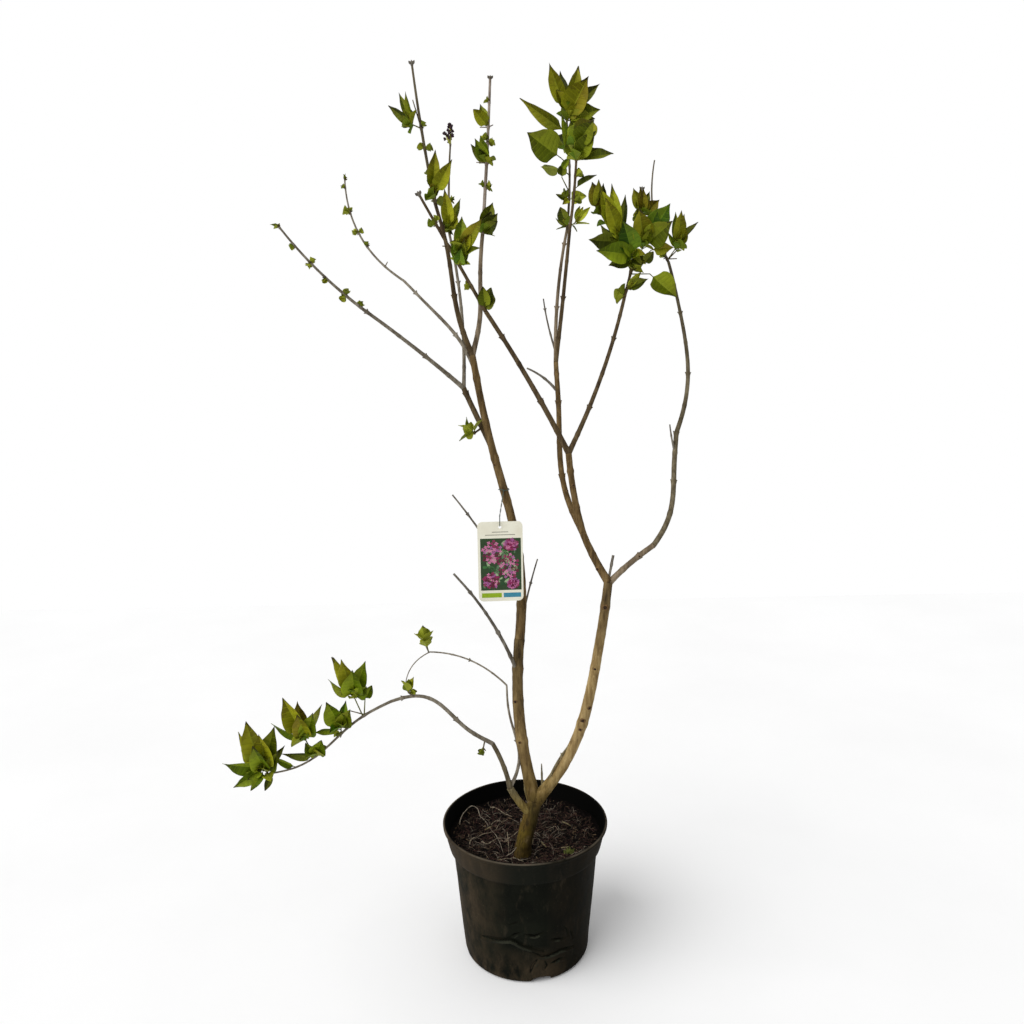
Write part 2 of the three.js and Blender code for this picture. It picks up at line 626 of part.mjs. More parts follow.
// A leaf: four points round its outline, folded up along the midrib, and one point above and below the midrib.
function leafSolid(root, along, up, length, broad) {
  const across = new THREE.Vector3().crossVectors(up, along);
  const half = (length * broad) / 2;
  const thick = Math.max(LEAF.thickness, length / 60) / 2;
  const place = (x, y, z) =>
    root
      .clone()
      .addScaledVector(along, x * length)
      .addScaledVector(across, y * half)
      .addScaledVector(up, z);
  const points = [
    place(-LEAF.sunk / length, 0, 0),
    place(LEAF.shoulder, 1, LEAF.fold * half),
    place(1, 0, -LEAF.curl * length),
    place(LEAF.shoulder, -1, LEAF.fold * half),
    place(LEAF.shoulder, 0, thick),
    place(LEAF.shoulder, 0, -thick),
  ];
  const faces = [];
  for (let i = 0; i < 4; i++) {
    const next = (i + 1) % 4;
    faces.push(next, i, 4, i, next, 5);
  }
  const geometry = new THREE.BufferGeometry().setFromPoints(points);
  geometry.setIndex(faces);
  return solidOf(geometry);
}

const twig = (start, end) =>
  sweep(
    new LimbPath(start, end.toArray(), [0, 0, 0]),
    (share) => mix(SHOOT.radius, SHOOT.tipRadius, share),
    3,
    1,
  );

// Flower buds set round the end of a shoot on a spiral.
function flowerBuds(start, axis, stalk, count) {
  const [back, across] = shootAxes(axis);
  const buds = [];
  for (let i = 0; i < count; i++) {
    const share = mix(FLOWER.lowestShare, 1, i / Math.max(1, count - 1));
    const turn = i * FLOWER.turn * DEGREE;
    const reach = FLOWER.reach * (1.2 - share);
    const bud = new THREE.OctahedronGeometry(FLOWER.budRadius);
    const centre = start
      .clone()
      .addScaledVector(axis, stalk * share)
      .addScaledVector(back, Math.cos(turn) * reach)
      .addScaledVector(across, Math.sin(turn) * reach);
    bud.translate(centre.x, centre.y, centre.z);
    buds.push(solidOf(bud));
  }
  return buds;
}

// Leaves in crosswise pairs up the stalk, each pair less open than the one below.
function whorlLeaves(start, axis, stalk, [count, length, open], random) {
  const [back, across] = shootAxes(axis);
  const firstRoll = random() * 180;
  const lastPair = Math.max(1, Math.ceil(count / 2) - 1);
  return Array.from({ length: count }, (_, i) => {
    const pair = Math.floor(i / 2);
    const height = pair / lastPair;
    const angle = (open * mix(1, WHORL.innerOpen, height) + WHORL.angleJitter * (random() - 0.5)) * DEGREE;
    const spin = (firstRoll + 90 * pair + 180 * (i % 2) + WHORL.spinJitter * (random() - 0.5)) * DEGREE;
    const outward = back.clone().multiplyScalar(Math.cos(spin)).addScaledVector(across, Math.sin(spin));
    const along = axis.clone().multiplyScalar(Math.cos(angle)).addScaledVector(outward, Math.sin(angle));
    const up = axis.clone().multiplyScalar(Math.sin(angle)).addScaledVector(outward, -Math.cos(angle));
    const root = start.clone().addScaledVector(axis, stalk * mix(WHORL.lowest, 1, height));
    return leafSolid(root, along, up, length * mix(WHORL.shortest, 1, random()), WHORL.broad);
  });
}

// Leaves told one by one, their roots set a little apart down the stalk from its tip.
function fanLeaves(start, axis, stalk, fan) {
  return fan.map(([turn, rise, length, broad, roll], i) => {
    const along = direction(turn, rise);
    const [back, across] = shootAxes(along);
    const up = back
      .multiplyScalar(-Math.cos(roll * DEGREE))
      .addScaledVector(across, -Math.sin(roll * DEGREE));
    const root = start.clone().addScaledVector(axis, Math.max(0, stalk - i * FAN.spacing));
    return leafSolid(root, along, up, length, broad);
  });
}

function shootSolids(start, { turn = 0, rise = 90, stalk = 0, whorl, fan = [], flowers = 0 }, random) {
  const axis = direction(turn, rise);
  return [
    ...(stalk > 0 ? [twig(start, start.clone().addScaledVector(axis, stalk))] : []),
    ...(whorl ? whorlLeaves(start, axis, stalk, whorl, random) : []),
    ...fanLeaves(start, axis, stalk, fan),
    ...flowerBuds(start, axis, stalk, flowers),
  ];
}

function makeSpray(name, { from, at, tip, bow, sway, radius, shoots }, index) {
  const path = new LimbPath(paths[from].getPoint(at), tip, bow, sway);
  const steps = Math.max(1, Math.round(path.getLength() / LIMB.step));
  const stem = cutClear(sweep(path, (share) => mix(...radius, share), LIMB.thinSides, steps));
  const solids = [largestPiece(stem)];
  shoots.forEach((shoot, number) => {
    const random = randomFrom(1000 * (index + 1) + number);
    const made = shootSolids(path.getPoint(shoot.at), shoot, random);
    solids.push(...made.filter((solid) => !standing.some((other) => touches(solid, other))));
  });
  const whole = largestPiece(union(solids));
  addNode(name, whole, "foliage");
  standing.push(whole);
}

// ---------- Pot, soil and label ----------

// The pot's outline from the middle of its underside, up the outside, over the rim and down the inside.
function potProfile() {
  const { height, rimRadius, lip, wall, collarRadius, collarHeight, baseRadius, baseRound } = POT;
  const { bodyStep, stepSlant, innerSlant } = POT;
  const body = collarRadius - bodyStep;
  const outline = [
    [0, 0],
    [baseRadius - baseRound, 0],
    [baseRadius - baseRound * 0.3, baseRound * 0.3],
    [baseRadius, baseRound],
    [body, collarHeight - stepSlant],
    [collarRadius, collarHeight],
    [rimRadius - lip, height - lip * 2],
    [rimRadius, height - lip],
    [rimRadius, height],
    [rimRadius - lip, height],
    [rimRadius - lip - wall, height - lip],
    [collarRadius - wall, collarHeight],
    [body - wall, collarHeight - innerSlant],
    [baseRadius - wall, baseRound],
    [baseRadius - baseRound, wall],
    [0, wall],
  ];
  return outline.map(([radius, z]) => new THREE.Vector2(radius, z));
}

function makePot() {
  const shell = new THREE.LatheGeometry(potProfile(), POT.sides);
  shell.rotateX(Math.PI / 2);
  let pot = solidOf(shell);
  for (let i = 0; i < DRAIN.count; i++) {
    const notch = new THREE.BoxGeometry(DRAIN.depth * 2, DRAIN.width, DRAIN.height * 2);
    notch.translate(POT.baseRadius, 0, 0);
    notch.rotateZ((DRAIN.firstTurn + (360 * i) / DRAIN.count) * DEGREE);
    pot = pot.subtract(solidOf(notch));
  }
  addNode("pot", pot, "pot");
}

// The soil fills the pot: flat round the trunk, rising a little to the wall.
function makeSoil() {
  const { height, rimRadius, lip, wall, collarRadius, collarHeight, baseRadius, baseRound } = POT;
  const inset = wall + CLEARANCE;
  const edge = SOIL.height + SOIL.edgeRise;
  const slope = (rimRadius - lip - collarRadius) / (height - lip - collarHeight);
  const outline = [
    [0, wall + CLEARANCE],
    [baseRadius - baseRound - CLEARANCE, wall + CLEARANCE],
    [baseRadius - inset, baseRound + CLEARANCE],
    [collarRadius - POT.bodyStep - inset, collarHeight - POT.innerSlant],
    [collarRadius - inset - CLEARANCE, collarHeight],
    [collarRadius - inset - CLEARANCE + slope * (edge - collarHeight), edge],
    [SOIL.flatRadius, SOIL.height],
    [0, SOIL.height],
  ];
  const fill = new THREE.LatheGeometry(
    outline.map(([radius, z]) => new THREE.Vector2(radius, z)),
    POT.sides,
  );
  fill.rotateX(Math.PI / 2);
  addNode("soil", solidOf(fill), "soil");
}

// The label: a card with round corners and a hole near its top edge.
function makeTag() {
  const { width, height, thickness, corner, centre, turn, holeRadius, holeDrop } = TAG;
  const x = width / 2;
  const y = height / 2;
  const card = new THREE.Shape();
  card.moveTo(-x + corner, -y);
  card.lineTo(x - corner, -y);
  card.absarc(x - corner, -y + corner, corner, -Math.PI / 2, 0);
  card.absarc(x - corner, y - corner, corner, 0, Math.PI / 2);
  card.absarc(-x + corner, y - corner, corner, Math.PI / 2, Math.PI);
  card.absarc(-x + corner, -y + corner, corner, Math.PI, Math.PI * 1.5);
  const hole = new THREE.Path();
  hole.absarc(0, y - holeDrop, holeRadius, 0, Math.PI * 2);
  card.holes.push(hole);
  const plate = new THREE.ExtrudeGeometry(card, { depth: thickness, bevelEnabled: false, curveSegments: 4 });
  plate.translate(0, 0, -thickness / 2);
  plate.rotateX(Math.PI / 2);
  plate.rotateZ(turn * DEGREE);
  plate.translate(...centre);
  addNode("label", solidOf(plate), "label");
}

// The wire tie: a loop round the stem, a straight drop from its front, and a ring that holds the label.
function makeTie() {
  const { stem, at, wire, loopRadius, hookRadius, sides, segments } = TIE;
  const centre = paths[stem].getPoint(at);
  const loop = new THREE.TorusGeometry(loopRadius, wire, sides, segments);
  loop.translate(centre.x, centre.y, centre.z);
  const [x, y, middle] = TAG.centre;
  const holeTop = middle + TAG.height / 2 - TAG.holeDrop + TAG.holeRadius;
  const hookFoot = holeTop - CLEARANCE - wire;
  const hook = new THREE.TorusGeometry(hookRadius, wire, sides, segments);
  hook.rotateY(Math.PI / 2);
  hook.translate(x, y, hookFoot + hookRadius);
  const front = centre.clone().add(vector([0, -loopRadius, 0]));
  const drop = new LimbPath(front, [x, y, hookFoot + 2 * hookRadius], [0, 0, 0]);
  addNode("label_tie", union([solidOf(loop), solidOf(hook), sweep(drop, () => wire, sides, 1)]), "wire");
}

makePot();
makeSoil();
makeTrunk();
Object.entries(LIMBS).forEach(([name, limb]) => makeLimb(name, limb, "bark"));
Object.entries(DEAD_LIMBS).forEach(([name, limb]) => makeLimb(name, limb, "deadwood"));
Object.entries(SPRAYS).forEach(([name, spray], index) => makeSpray(name, spray, index));
makeTag();
makeTie();

export default plant;
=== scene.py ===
"""The looks of a potted lilac bush: bark, leaves, buds, pot, soil and label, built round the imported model.

Lengths are in millimetres, +Z up, until a mesh is made. The limbs and shoots follow the same rule and the
same sizes as the part's source, and are carried on to leaf stalks, veins, buds, bark and roots.
"""

import math
from functools import reduce

import bpy
import numpy as np
from mathutils import Matrix, Vector, noise


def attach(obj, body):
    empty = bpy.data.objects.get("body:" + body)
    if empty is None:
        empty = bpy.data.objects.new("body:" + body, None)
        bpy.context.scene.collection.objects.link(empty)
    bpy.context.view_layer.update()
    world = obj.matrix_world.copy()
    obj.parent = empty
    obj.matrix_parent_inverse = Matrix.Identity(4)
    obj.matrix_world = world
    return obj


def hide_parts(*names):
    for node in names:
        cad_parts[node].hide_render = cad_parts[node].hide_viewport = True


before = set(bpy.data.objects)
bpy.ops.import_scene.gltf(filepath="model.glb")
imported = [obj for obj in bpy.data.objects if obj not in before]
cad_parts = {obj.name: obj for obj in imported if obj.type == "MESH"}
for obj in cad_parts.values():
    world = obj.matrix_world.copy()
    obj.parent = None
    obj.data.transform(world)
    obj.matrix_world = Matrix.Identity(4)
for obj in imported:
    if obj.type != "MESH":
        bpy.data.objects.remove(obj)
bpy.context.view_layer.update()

# ---------- Limbs and shoots ----------

CLEARANCE, SOIL_LEVEL = 0.3, 198
# The trunk: foot, tip, bow of its middle, radius at base and tip.
TRUNK = ((-6, -52, SOIL_LEVEL + CLEARANCE), (17, -45, 288), (-2, 0, 0), (12.8, 12.4))
# A limb: parent, share of the parent's length where it starts, tip, bow of its middle, radius at base and
# tip, and the S-shaped sway, where it has one.
LIMBS = {
    "left_stem_lower": ("trunk", 1, (-4, 0, 550), (-13, 0, 0), (10, 8.5)),
    "right_stem": ("trunk", 0.97, (135, -60, 660), (29, 0, -10), (9.8, 7), (5, 0, -3)),
    "left_stem_upper": ("left_stem_lower", 1, (-72, 40, 1012), (16, 0, 2), (8.3, 5.2), (8, 0, 1)),
    "left_upright": ("left_stem_upper", 1, (-121, 0, 1239), (-3, 1, -1), (4.4, 2.6), (-4, 0, -1)),
    "middle_upright": ("left_stem_upper", 1, (-53, 100, 1206), (5, 0, 0), (4.1, 3.1), (3, 0, 0)),
    "curved_bough": ("left_stem_upper", 0.94, (-186, 115, 1137), (9, 1, 6), (3.2, 2.1), (3, 0, 1)),
    "side_bough": ("left_stem_upper", 0.69, (-88, 55, 960), (-1, 0, 0), (4.8, 4.3)),
    "long_bough": ("side_bough", 1, (-232, -30, 1082), (1, 1, 2), (3.5, 2.5)),
    "flower_bough": ("side_bough", 1, (-106, 90, 1205), (8, 0, 0), (3, 2.2)),
    "right_stem_upper": ("right_stem", 1, (97, -45, 736), (-2, 0, -1), (6.2, 5.4)),
    "front_bough": ("right_stem_upper", 1, (76, -40, 860), (-3, 0, 0), (5.2, 4.9)),
    "back_bough": ("right_stem_upper", 1, (63, 60, 999), (-15, 1, -4), (4.8, 3.8), (-5, 0, -2)),
    "tall_bough_left": ("back_bough", 1, (84, 85, 1209), (-6, 0, 1), (3.2, 2.2)),
    "tall_bough_right": ("back_bough", 1, (85, 35, 1202), (1, 0, 1), (3.4, 2.6)),
    "crossing_bough": ("front_bough", 1, (-46, -62, 1073), (3, 0, 2), (4.2, 3.2)),
    "right_bough": ("front_bough", 1, (178, 90, 1101), (7, 2, -4), (3.8, 2.8)),
    "outer_bough_foot": ("right_stem", 0.99, (206, -55, 716), (-2, 0, 2), (4.6, 4.3)),
    "outer_bough_middle": ("outer_bough_foot", 1, (259, 50, 881), (13, 0, -4), (4.2, 4), (4, 0, -2)),
    "outer_bough_upper": ("outer_bough_middle", 1, (259, 140, 1163), (23, 0, 0), (3.8, 2.5), (4, 0, -1)),
    "low_bough_foot": ("trunk", 0.74, (-24, -58, 318), (-2, 0, -1), (6.4, 5.4)),
    "low_bough_rise": ("low_bough_foot", 1, (-50, -72, 401), (3, 0, 1), (3.8, 3.5)),
    "low_bough_arch": ("low_bough_rise", 1, (-203, -120, 494), (7, 1, 21), (3.4, 2.3), (-4, 0, -10)),
    "thin_bough_foot": ("low_bough_foot", 1, (-27, 20, 463), (12, 1, -2), (2.8, 1.6), (7, 0, -1)),
    "thin_bough_arch": ("thin_bough_foot", 1, (-162, 90, 500), (5, 1, 14), (1.5, 1.2)),
    "stem_runner": ("right_stem", 0.07, (84, -48, 398), (-6, -6, 5), (1.8, 1.2)),
}
DEAD_LIMBS = {
    "dead_twig_low": ("left_stem_lower", 0.79, (-105, -60, 677), (8, 1, 5), (2.7, 1.5)),
    "dead_twig_label": ("left_stem_upper", 0.14, (-114, 90, 779), (5, 1, 2), (2.3, 1.2)),
    "dead_twig_inner": ("left_stem_upper", 0.03, (29, 60, 671), (-2, 0, 0), (1.7, 1)),
    "dead_twig_high": ("tall_bough_left", 0.08, (45, 90, 1102), (-2, 0, -1), (1.5, 0.9)),
    "dead_twig_short": ("back_bough", 0.82, (16, 70, 990), (3, 0, 3), (1.9, 1.3)),
    "spur_fork": ("right_stem", 1, (144, -50, 700), (0, 0, 0), (1.5, 1.8)),
    "spur_outer": ("outer_bough_middle", 0.82, (246, 38, 896), (-1, 0, 0), (1.4, 0.9)),
    "stub_fork": ("trunk", 0.85, (1, -34, 314), (-3, 2, 0), (2.6, 2)),
    "spike_foot": ("right_stem", 0.05, (29, -20, 340), (0, 0, 0), (2.2, 0.8)),
}


def shoot(at, turn=0, rise=90, stalk=0, **grown):
    """What grows from a spray's stem at a share of its length: which way, how far out, and what it bears."""
    return dict(at=at, turn=turn, rise=rise, stalk=stalk, **grown)


def whorl(at, turn, rise, *sizes, stalk=0, tints="llylpmg", slim=False):
    """Leaves round an axis: their number, length and how far they open."""
    return shoot(at, turn, rise, stalk, whorl=sizes, tints=tints, slim=slim)


def fan(place, tints, *blades):
    """Single leaves, each with its turn, rise, length, breadth and, where it is tipped over, its roll."""
    return shoot(*place, fan=[(*blade, 0)[:5] for blade in blades], tints=tints)


# A spray: its stem, given as a limb is, and its shoots.
SPRAYS = {
    "top_spray": (("tall_bough_left", 1, (85, 100, 1388), (5, 0, 0), (2.1, 1.5)), (
        whorl(0.03, 190, 50, 2, 20, 56),
        fan((0.03,), "dd", (144, 68, 36, 0.42, 20), (202, 27, 24, 0.22, 60)),
        whorl(0.3, 185, 12, 3, 19, 40),
        fan((0.27,), "dly", (191, 16, 23, 0.3, 20), (314, 3, 34, 0.5), (223, -31, 17, 0.5)),
        fan((0.33, 194, 61, 26), "d", (308, 76, 21, 0.62, 10)),
        fan((0.48, 203, 29, 18), "pm", (206, -4, 38, 0.5, 150), (310, 36, 23, 0.4)),
        fan((0.56, 203, 36, 19), "g", (198, 31, 66, 0.62)),
        fan((0.68,), "dgmg", (140, 49, 43, 0.5), (45, 55, 64, 0.5), (219, 77, 58, 0.17), (282, 76, 50, 0.17)),
        fan((0.84,), "o", (190, 32, 93, 0.19, 30)),
        fan((0.95,), "kgg", (314, 52, 72, 0.46, 10), (328, 11, 58, 0.5, 15), (328, -4, 49, 0.55)),
        fan((1, 0, 73, 5), "oodyd", (201, 64, 77, 0.25, 20), (200, 69, 66, 0.25), (132, 77, 73, 0.22),
            (22, 71, 82, 0.25, 340), (20, 41, 84, 0.2, 10)),
    )),
    "top_right_spray": (("tall_bough_right", 1, (95, 15, 1322), (2, 0, 0), (2.4, 1.7)), (
        fan((0.05, 331, 21, 9), "lqllg", (41, 72, 29, 0.22, 20), (344, 60, 28, 0.24), (343, 39, 35, 0.26),
            (351, 4, 26, 0.2, 60), (23, -44, 14, 0.26, 60)),
        whorl(0.34, 350, 22, 2, 19, 30),
        fan((0.49,), "d", (346, 32, 39, 0.28, 40)),
        whorl(0.64, 350, 30, 2, 19, 36),
        fan((0.82,), "gggl", (319, 44, 51, 0.44, 10), (352, 12, 57, 0.4, 40), (125, 55, 42, 0.4),
            (304, 75, 46, 0.22)),
        fan((1,), "omg", (45, 52, 59, 0.5), (88, 58, 49, 0.45), (308, 38, 45, 0.55)),
    )),
    "right_spray": (("right_bough", 1, (212, 130, 1281), (5, 0, -1), (2.6, 1.2)), (
        whorl(0.02, 180, 25, 3, 21, 62),
        fan((0.07,), "dl", (344, 29, 40, 0.38, 20), (350, 50, 37, 0.26, 20)),
        fan((0.22, 335, -3, 33), "g", (336, -42, 60, 0.5, 5)),
        fan((0.24, 332, 28, 24), "dgy", (334, 44, 25, 0.55), (138, 72, 19, 0.4), (342, 62, 14, 0.3)),
        fan((0.24, 203, 69, 58), "qqyddd", (144, 79, 89, 0.18, 10), (202, 62, 85, 0.27), (223, 60, 69, 0.3),
            (61, 72, 81, 0.15, 20), (185, -2, 53, 0.5, 25), (146, 36, 57, 0.26, 60)),
        fan((0.25, 148, 60, 114), "bod", (159, 75, 52, 0.42), (243, 85, 53, 0.3, 30), (21, 84, 50, 0.26)),
        fan((0.28, 268, 42, 24), "medd", (205, 8, 66, 0.44), (240, 57, 63, 0.46), (189, -15, 42, 0.5),
            (311, -29, 24, 0.5)),
        fan((0.26, 330, 59, 45), "vgov", (346, 56, 74, 0.42, 10), (319, 29, 59, 0.56), (250, 55, 63, 0.46),
            (322, 68, 62, 0.46)),
        fan((0.26, 332, 40, 44), "h", (328, 5, 38, 0.46)),
        whorl(0.3, 80, 40, 4, 42, 50, stalk=20),
        whorl(0.26, 300, 30, 4, 24, 66, stalk=5),
        fan((0.68, 325, 64, 16), "obbdb", (155, 66, 47, 0.3, 20), (214, 81, 44, 0.26), (278, 76, 42, 0.3),
            (46, 64, 50, 0.22, 20), (0, 45, 41, 0.44)),
        whorl(0.74, 190, 25, 2, 18, 50),
    )),
    "outer_spray": (("outer_bough_upper", 1, (238, 165, 1332), (-14, 0, -3), (2.1, 1.1)), (
        fan((0.02, 345, 54, 27), "goodm", (117, 83, 58, 0.2, 20), (306, 80, 59, 0.28), (33, 69, 62, 0.24, 10),
            (0, 51, 57, 0.26, 50), (223, 56, 31, 0.2)),
        shoot(0.03, 5, 2, 17),
        shoot(0.02, 10, 44, 45),
        whorl(0.05, 150, 40, 2, 17, 40),
    )),
    "left_spray": (("left_upright", 1, (-146, -30, 1428), (-2, 0, 0), (2.6, 1.6)), (
        whorl(0.02, 90, 50, 3, 21, 65),
        whorl(0.03, 250, 50, 3, 21, 62),
        fan((0.06,), "oy", (282, 69, 63, 0.26), (316, 43, 60, 0.3, 350)),
        shoot(0.08, 140, 58, 22),
        whorl(0.2, 180, 60, 3, 14, 50),
        whorl(0.4, 175, 22, 2, 15, 34),
        whorl(0.4, 0, 8, 2, 17, 30),
        fan((0.54, 192, 21, 16), "ggdy", (167, 69, 50, 0.17), (217, 73, 45, 0.17, 20),
            (187, 36, 44, 0.26, 30), (206, 7, 20, 0.5)),
        shoot(0.54, 170, 74, 42),
        whorl(0.55, 0, 48, 3, 13, 35),
    )),
    "middle_spray": (("middle_upright", 1, (-36, 150, 1463), (1, 0, 0), (3, 2.1)), (
        fan((0.01,), "gdddg", (32, 70, 56, 0.34), (339, 46, 40, 0.5), (326, 30, 33, 0.5), (338, 65, 37, 0.4),
            (349, -9, 21, 0.24, 60)),
        whorl(0.3, 185, 50, 2, 15, 16),
        whorl(0.3, 355, 15, 3, 17, 42),
        fan((0.45,), "dmm", (205, 43, 39, 0.3, 30), (232, 54, 43, 0.36), (232, 73, 44, 0.3)),
        shoot(0.455, 184, 2, 17),
        whorl(0.46, 350, 30, 3, 15, 56),
        whorl(0.58, 350, 12, 3, 16, 30),
        whorl(0.6, 210, 30, 2, 18, 36),
        fan((0.68,), "yg", (212, 43, 36, 0.5), (142, 68, 44, 0.28)),
        shoot(0.68, 182, 0, 14),
        shoot(0.68, 0, 24, 9),
        whorl(0.84, 180, 32, 2, 13, 34),
    )),
    "flower_spray": (("flower_bough", 1, (-102, 110, 1350), (-2, 0, 0), (2.1, 1.4)), (
        fan((0.04,), "ygg", (253, 81, 66, 0.26), (14, 69, 57, 0.2, 20), (212, 58, 21, 0.35)),
        whorl(0.03, 250, 30, 3, 18, 70),
        whorl(0.36, 170, 20, 2, 15, 30),
        whorl(0.38, 5, 25, 2, 16, 30),
        shoot(1, 60, 88, 30, flowers=14),
        shoot(0.99, 176, 66, 20, flowers=6),
    )),
    "crossing_spray": (("crossing_bough", 1, (-138, -80, 1238), (0, 0, 0), (2.9, 1.9)), (
        fan((0.02,), "gddd", (271, 66, 34, 0.46), (43, 55, 30, 0.5), (335, 73, 33, 0.44), (331, 41, 22, 0.5)),
        shoot(0.02, 0, 28, 13),
        whorl(0.22, 175, 10, 3, 15, 35),
        fan((0.4,), "vmgmv", (248, 57, 36, 0.3), (271, 55, 42, 0.3), (285, 47, 43, 0.3), (308, 42, 34, 0.34),
            (278, 26, 38, 0.36)),
        fan((0.4, 292, 64, 20), "homog", (329, 50, 55, 0.34, 10), (337, 61, 42, 0.3), (69, 79, 56, 0.28),
            (106, 66, 52, 0.22), (322, 16, 37, 0.28, 40)),
        shoot(0.56, 180, 4, 9),
        whorl(0.74, 190, 34, 3, 18, 44),
        whorl(0.76, 60, 60, 2, 14, 20),
    )),
    "curved_spray": (("curved_bough", 1, (-290, 190, 1316), (-23, 0, -12), (2, 1.3)), (
        shoot(0.18, 10, 60, 9),
        whorl(0.4, 170, 80, 3, 12, 36),
        whorl(0.54, 182, 2, 2, 14, 16),
        whorl(0.54, 0, 28, 2, 13, 34),
        whorl(0.72, 180, 26, 2, 19, 34),
        whorl(0.73, 80, 60, 2, 12, 34),
        whorl(0.93, 200, 30, 3, 11, 40),
        whorl(0.99, 90, 80, 2, 13, 14, slim=True),
    )),
    "long_spray": (("long_bough", 1, (-331, -110, 1191), (-5, 1, -3), (2.4, 1.4)), (
        whorl(0.03, 20, 82, 2, 13, 24),
        whorl(0.2, 20, 68, 3, 15, 46),
        whorl(0.2, 220, -50, 2, 14, 40),
        whorl(0.43, 260, -60, 3, 11, 40),
        whorl(0.6, 10, 66, 2, 13, 30),
        whorl(0.6, 200, -40, 3, 12, 46),
        whorl(0.8, 190, -10, 3, 11, 42),
        whorl(0.99, 165, 30, 2, 14, 14, slim=True),
    )),
    "side_sprout": (("side_bough", 0.3, (-72, 22, 888), (0, 0, 0), (1.9, 1.5)), (
        whorl(1, 182, 50, 6, 27, 74, stalk=3),
        whorl(0.8, 182, -4, 2, 20, 14),
    )),
    "low_spray": (("low_bough_arch", 1, (-379, -190, 415), (3, 1, -10), (2.3, 1.2), (-3, 0, 8)), (
        fan((0.21, 315, 81, 28), "m", (350, 60, 24, 0.5)),
        fan((0.22, 196, 70, 41), "oyomgmm", (162, 59, 62, 0.22, 10), (190, 68, 63, 0.2), (237, 72, 62, 0.36),
            (345, 67, 58, 0.36), (158, 20, 51, 0.3, 30), (279, 63, 54, 0.5), (314, 41, 37, 0.5)),
        shoot(0.2, 170, 12, 24),
        fan((0.41, 286, 80, 12), "mvgmg", (211, 65, 46, 0.54), (53, 72, 40, 0.3), (318, 54, 41, 0.5),
            (186, -5, 40, 0.28, 20), (288, 68, 39, 0.4)),
        whorl(0.41, 195, -8, 3, 16, 40),
        fan((0.63,), "mmd", (305, 60, 34, 0.6), (227, 56, 30, 0.5), (189, 5, 51, 0.26, 20)),
        fan((0.64, 196, 66, 36), "ybpmmh", (213, 68, 70, 0.36), (165, 82, 56, 0.36), (35, 60, 55, 0.17),
            (170, 17, 58, 0.3, 40), (309, 61, 54, 0.4), (262, 62, 56, 0.4)),
        fan((0.79,), "m", (176, 20, 33, 0.34, 10)),
        fan((0.95,), "d", (226, -58, 27, 0.32)),
        fan((0.98, 211, 58, 15), "oymmmgdymg", (213, 73, 75, 0.36), (155, 43, 64, 0.22, 20),
            (195, 13, 57, 0.36, 20), (205, -26, 48, 0.32), (247, -30, 35, 0.3), (340, 76, 69, 0.36),
            (32, 47, 44, 0.22), (276, 69, 69, 0.4), (259, 56, 62, 0.36), (318, 52, 49, 0.34)),
        whorl(0.98, 260, 60, 3, 26, 70, stalk=4),
    )),
    "arch_sprout": (("low_bough_arch", 0.82, (-176, -113, 506), (0, 0, 0), (1.5, 1.2)), (
        whorl(0.9, 120, 86, 3, 25, 24),
        whorl(0.6, 0, 40, 2, 13, 30),
    )),
    "knee_sprout": (("low_bough_arch", 0.08, (-65, -76, 396), (0, 0, 0), (1.4, 1.1)), (
        whorl(1, 200, -60, 2, 16, 26, tints="dd"),
    )),
    "thin_spray": (("thin_bough_arch", 1, (-212, 120, 421), (-10, 0, 7), (1.1, 0.8)), (
        shoot(0.02, 170, 66, 16),
        whorl(0.02, 150, 74, 6, 32, 56, stalk=20),
    )),
}

# ---------- Small tools ----------


def vec(*xyz):
    return np.array(xyz, float)


def unit(v):
    return v / np.linalg.norm(v)


def mix(a, b, share):
    return a + (b - a) * share


def noise_at(x, y, z):
    """Smooth noise between about -1 and 1."""
    return noise.noise(Vector((x, y, z)))


def random_from(seed):
    """A small repeatable random source: each call gives the next number from 0 to 1."""
    state = seed

    def draw():
        nonlocal state
        state = (state * 1664525 + 1013904223) % 4294967296
        return state / 4294967296

    return draw


def direction(turn, rise):
    turn, rise = math.radians(turn), math.radians(rise)
    return vec(math.cos(turn) * math.cos(rise), math.sin(turn) * math.cos(rise), math.sin(rise))


def turned(u, v, angle, x=0, y=0):
    """A flat place turned about the origin, then moved by x and y."""
    return x + u * math.cos(angle) - v * math.sin(angle), y + u * math.sin(angle) + v * math.cos(angle)


class LimbPath:
    """A straight line from start to tip, bowed in the middle and swayed by one S."""

    def __init__(self, start, tip, bow=(0, 0, 0), sway=(0, 0, 0)):
        self.start, self.tip, self.bow, self.sway = (np.array(v, float) for v in (start, tip, bow, sway))
        steps = self.point(np.linspace(0, 1, 60))
        self.length = np.linalg.norm(np.diff(steps, axis=0), axis=1).sum()

    def point(self, share):
        s = np.asarray(share, float)[..., None]
        line = self.start + (self.tip - self.start) * s
        return line + self.bow * 4 * s * (1 - s) + self.sway * np.sin(2 * math.pi * s)

    def tangent(self, share):
        near, far = max(share - 1e-4, 0), min(share + 1e-4, 1)
        return unit(self.point(far) - self.point(near))


def cross_axes(axis, reference):
    """Two directions square to an axis: the first as near as can be to the reference, the second across."""
    side = unit(reference - axis * reference.dot(axis))
    return side, np.cross(side, axis)


def reference_for(axis):
    """A direction well off an axis, for the side of a tube."""
    return vec(0, 1, 0) if abs(axis[1]) < 0.7 else vec(1, 0, 0)


def shoot_axes(axis):
    """The directions to the back of a shoot and across it."""
    return cross_axes(axis, vec(0, 1, 0) if abs(axis[1]) < 0.9 else vec(0, 0, 1))


def around(axes, angle):
    """The direction at an angle from the first of two axes to the second."""
    return axes[0] * math.cos(angle) + axes[1] * math.sin(angle)


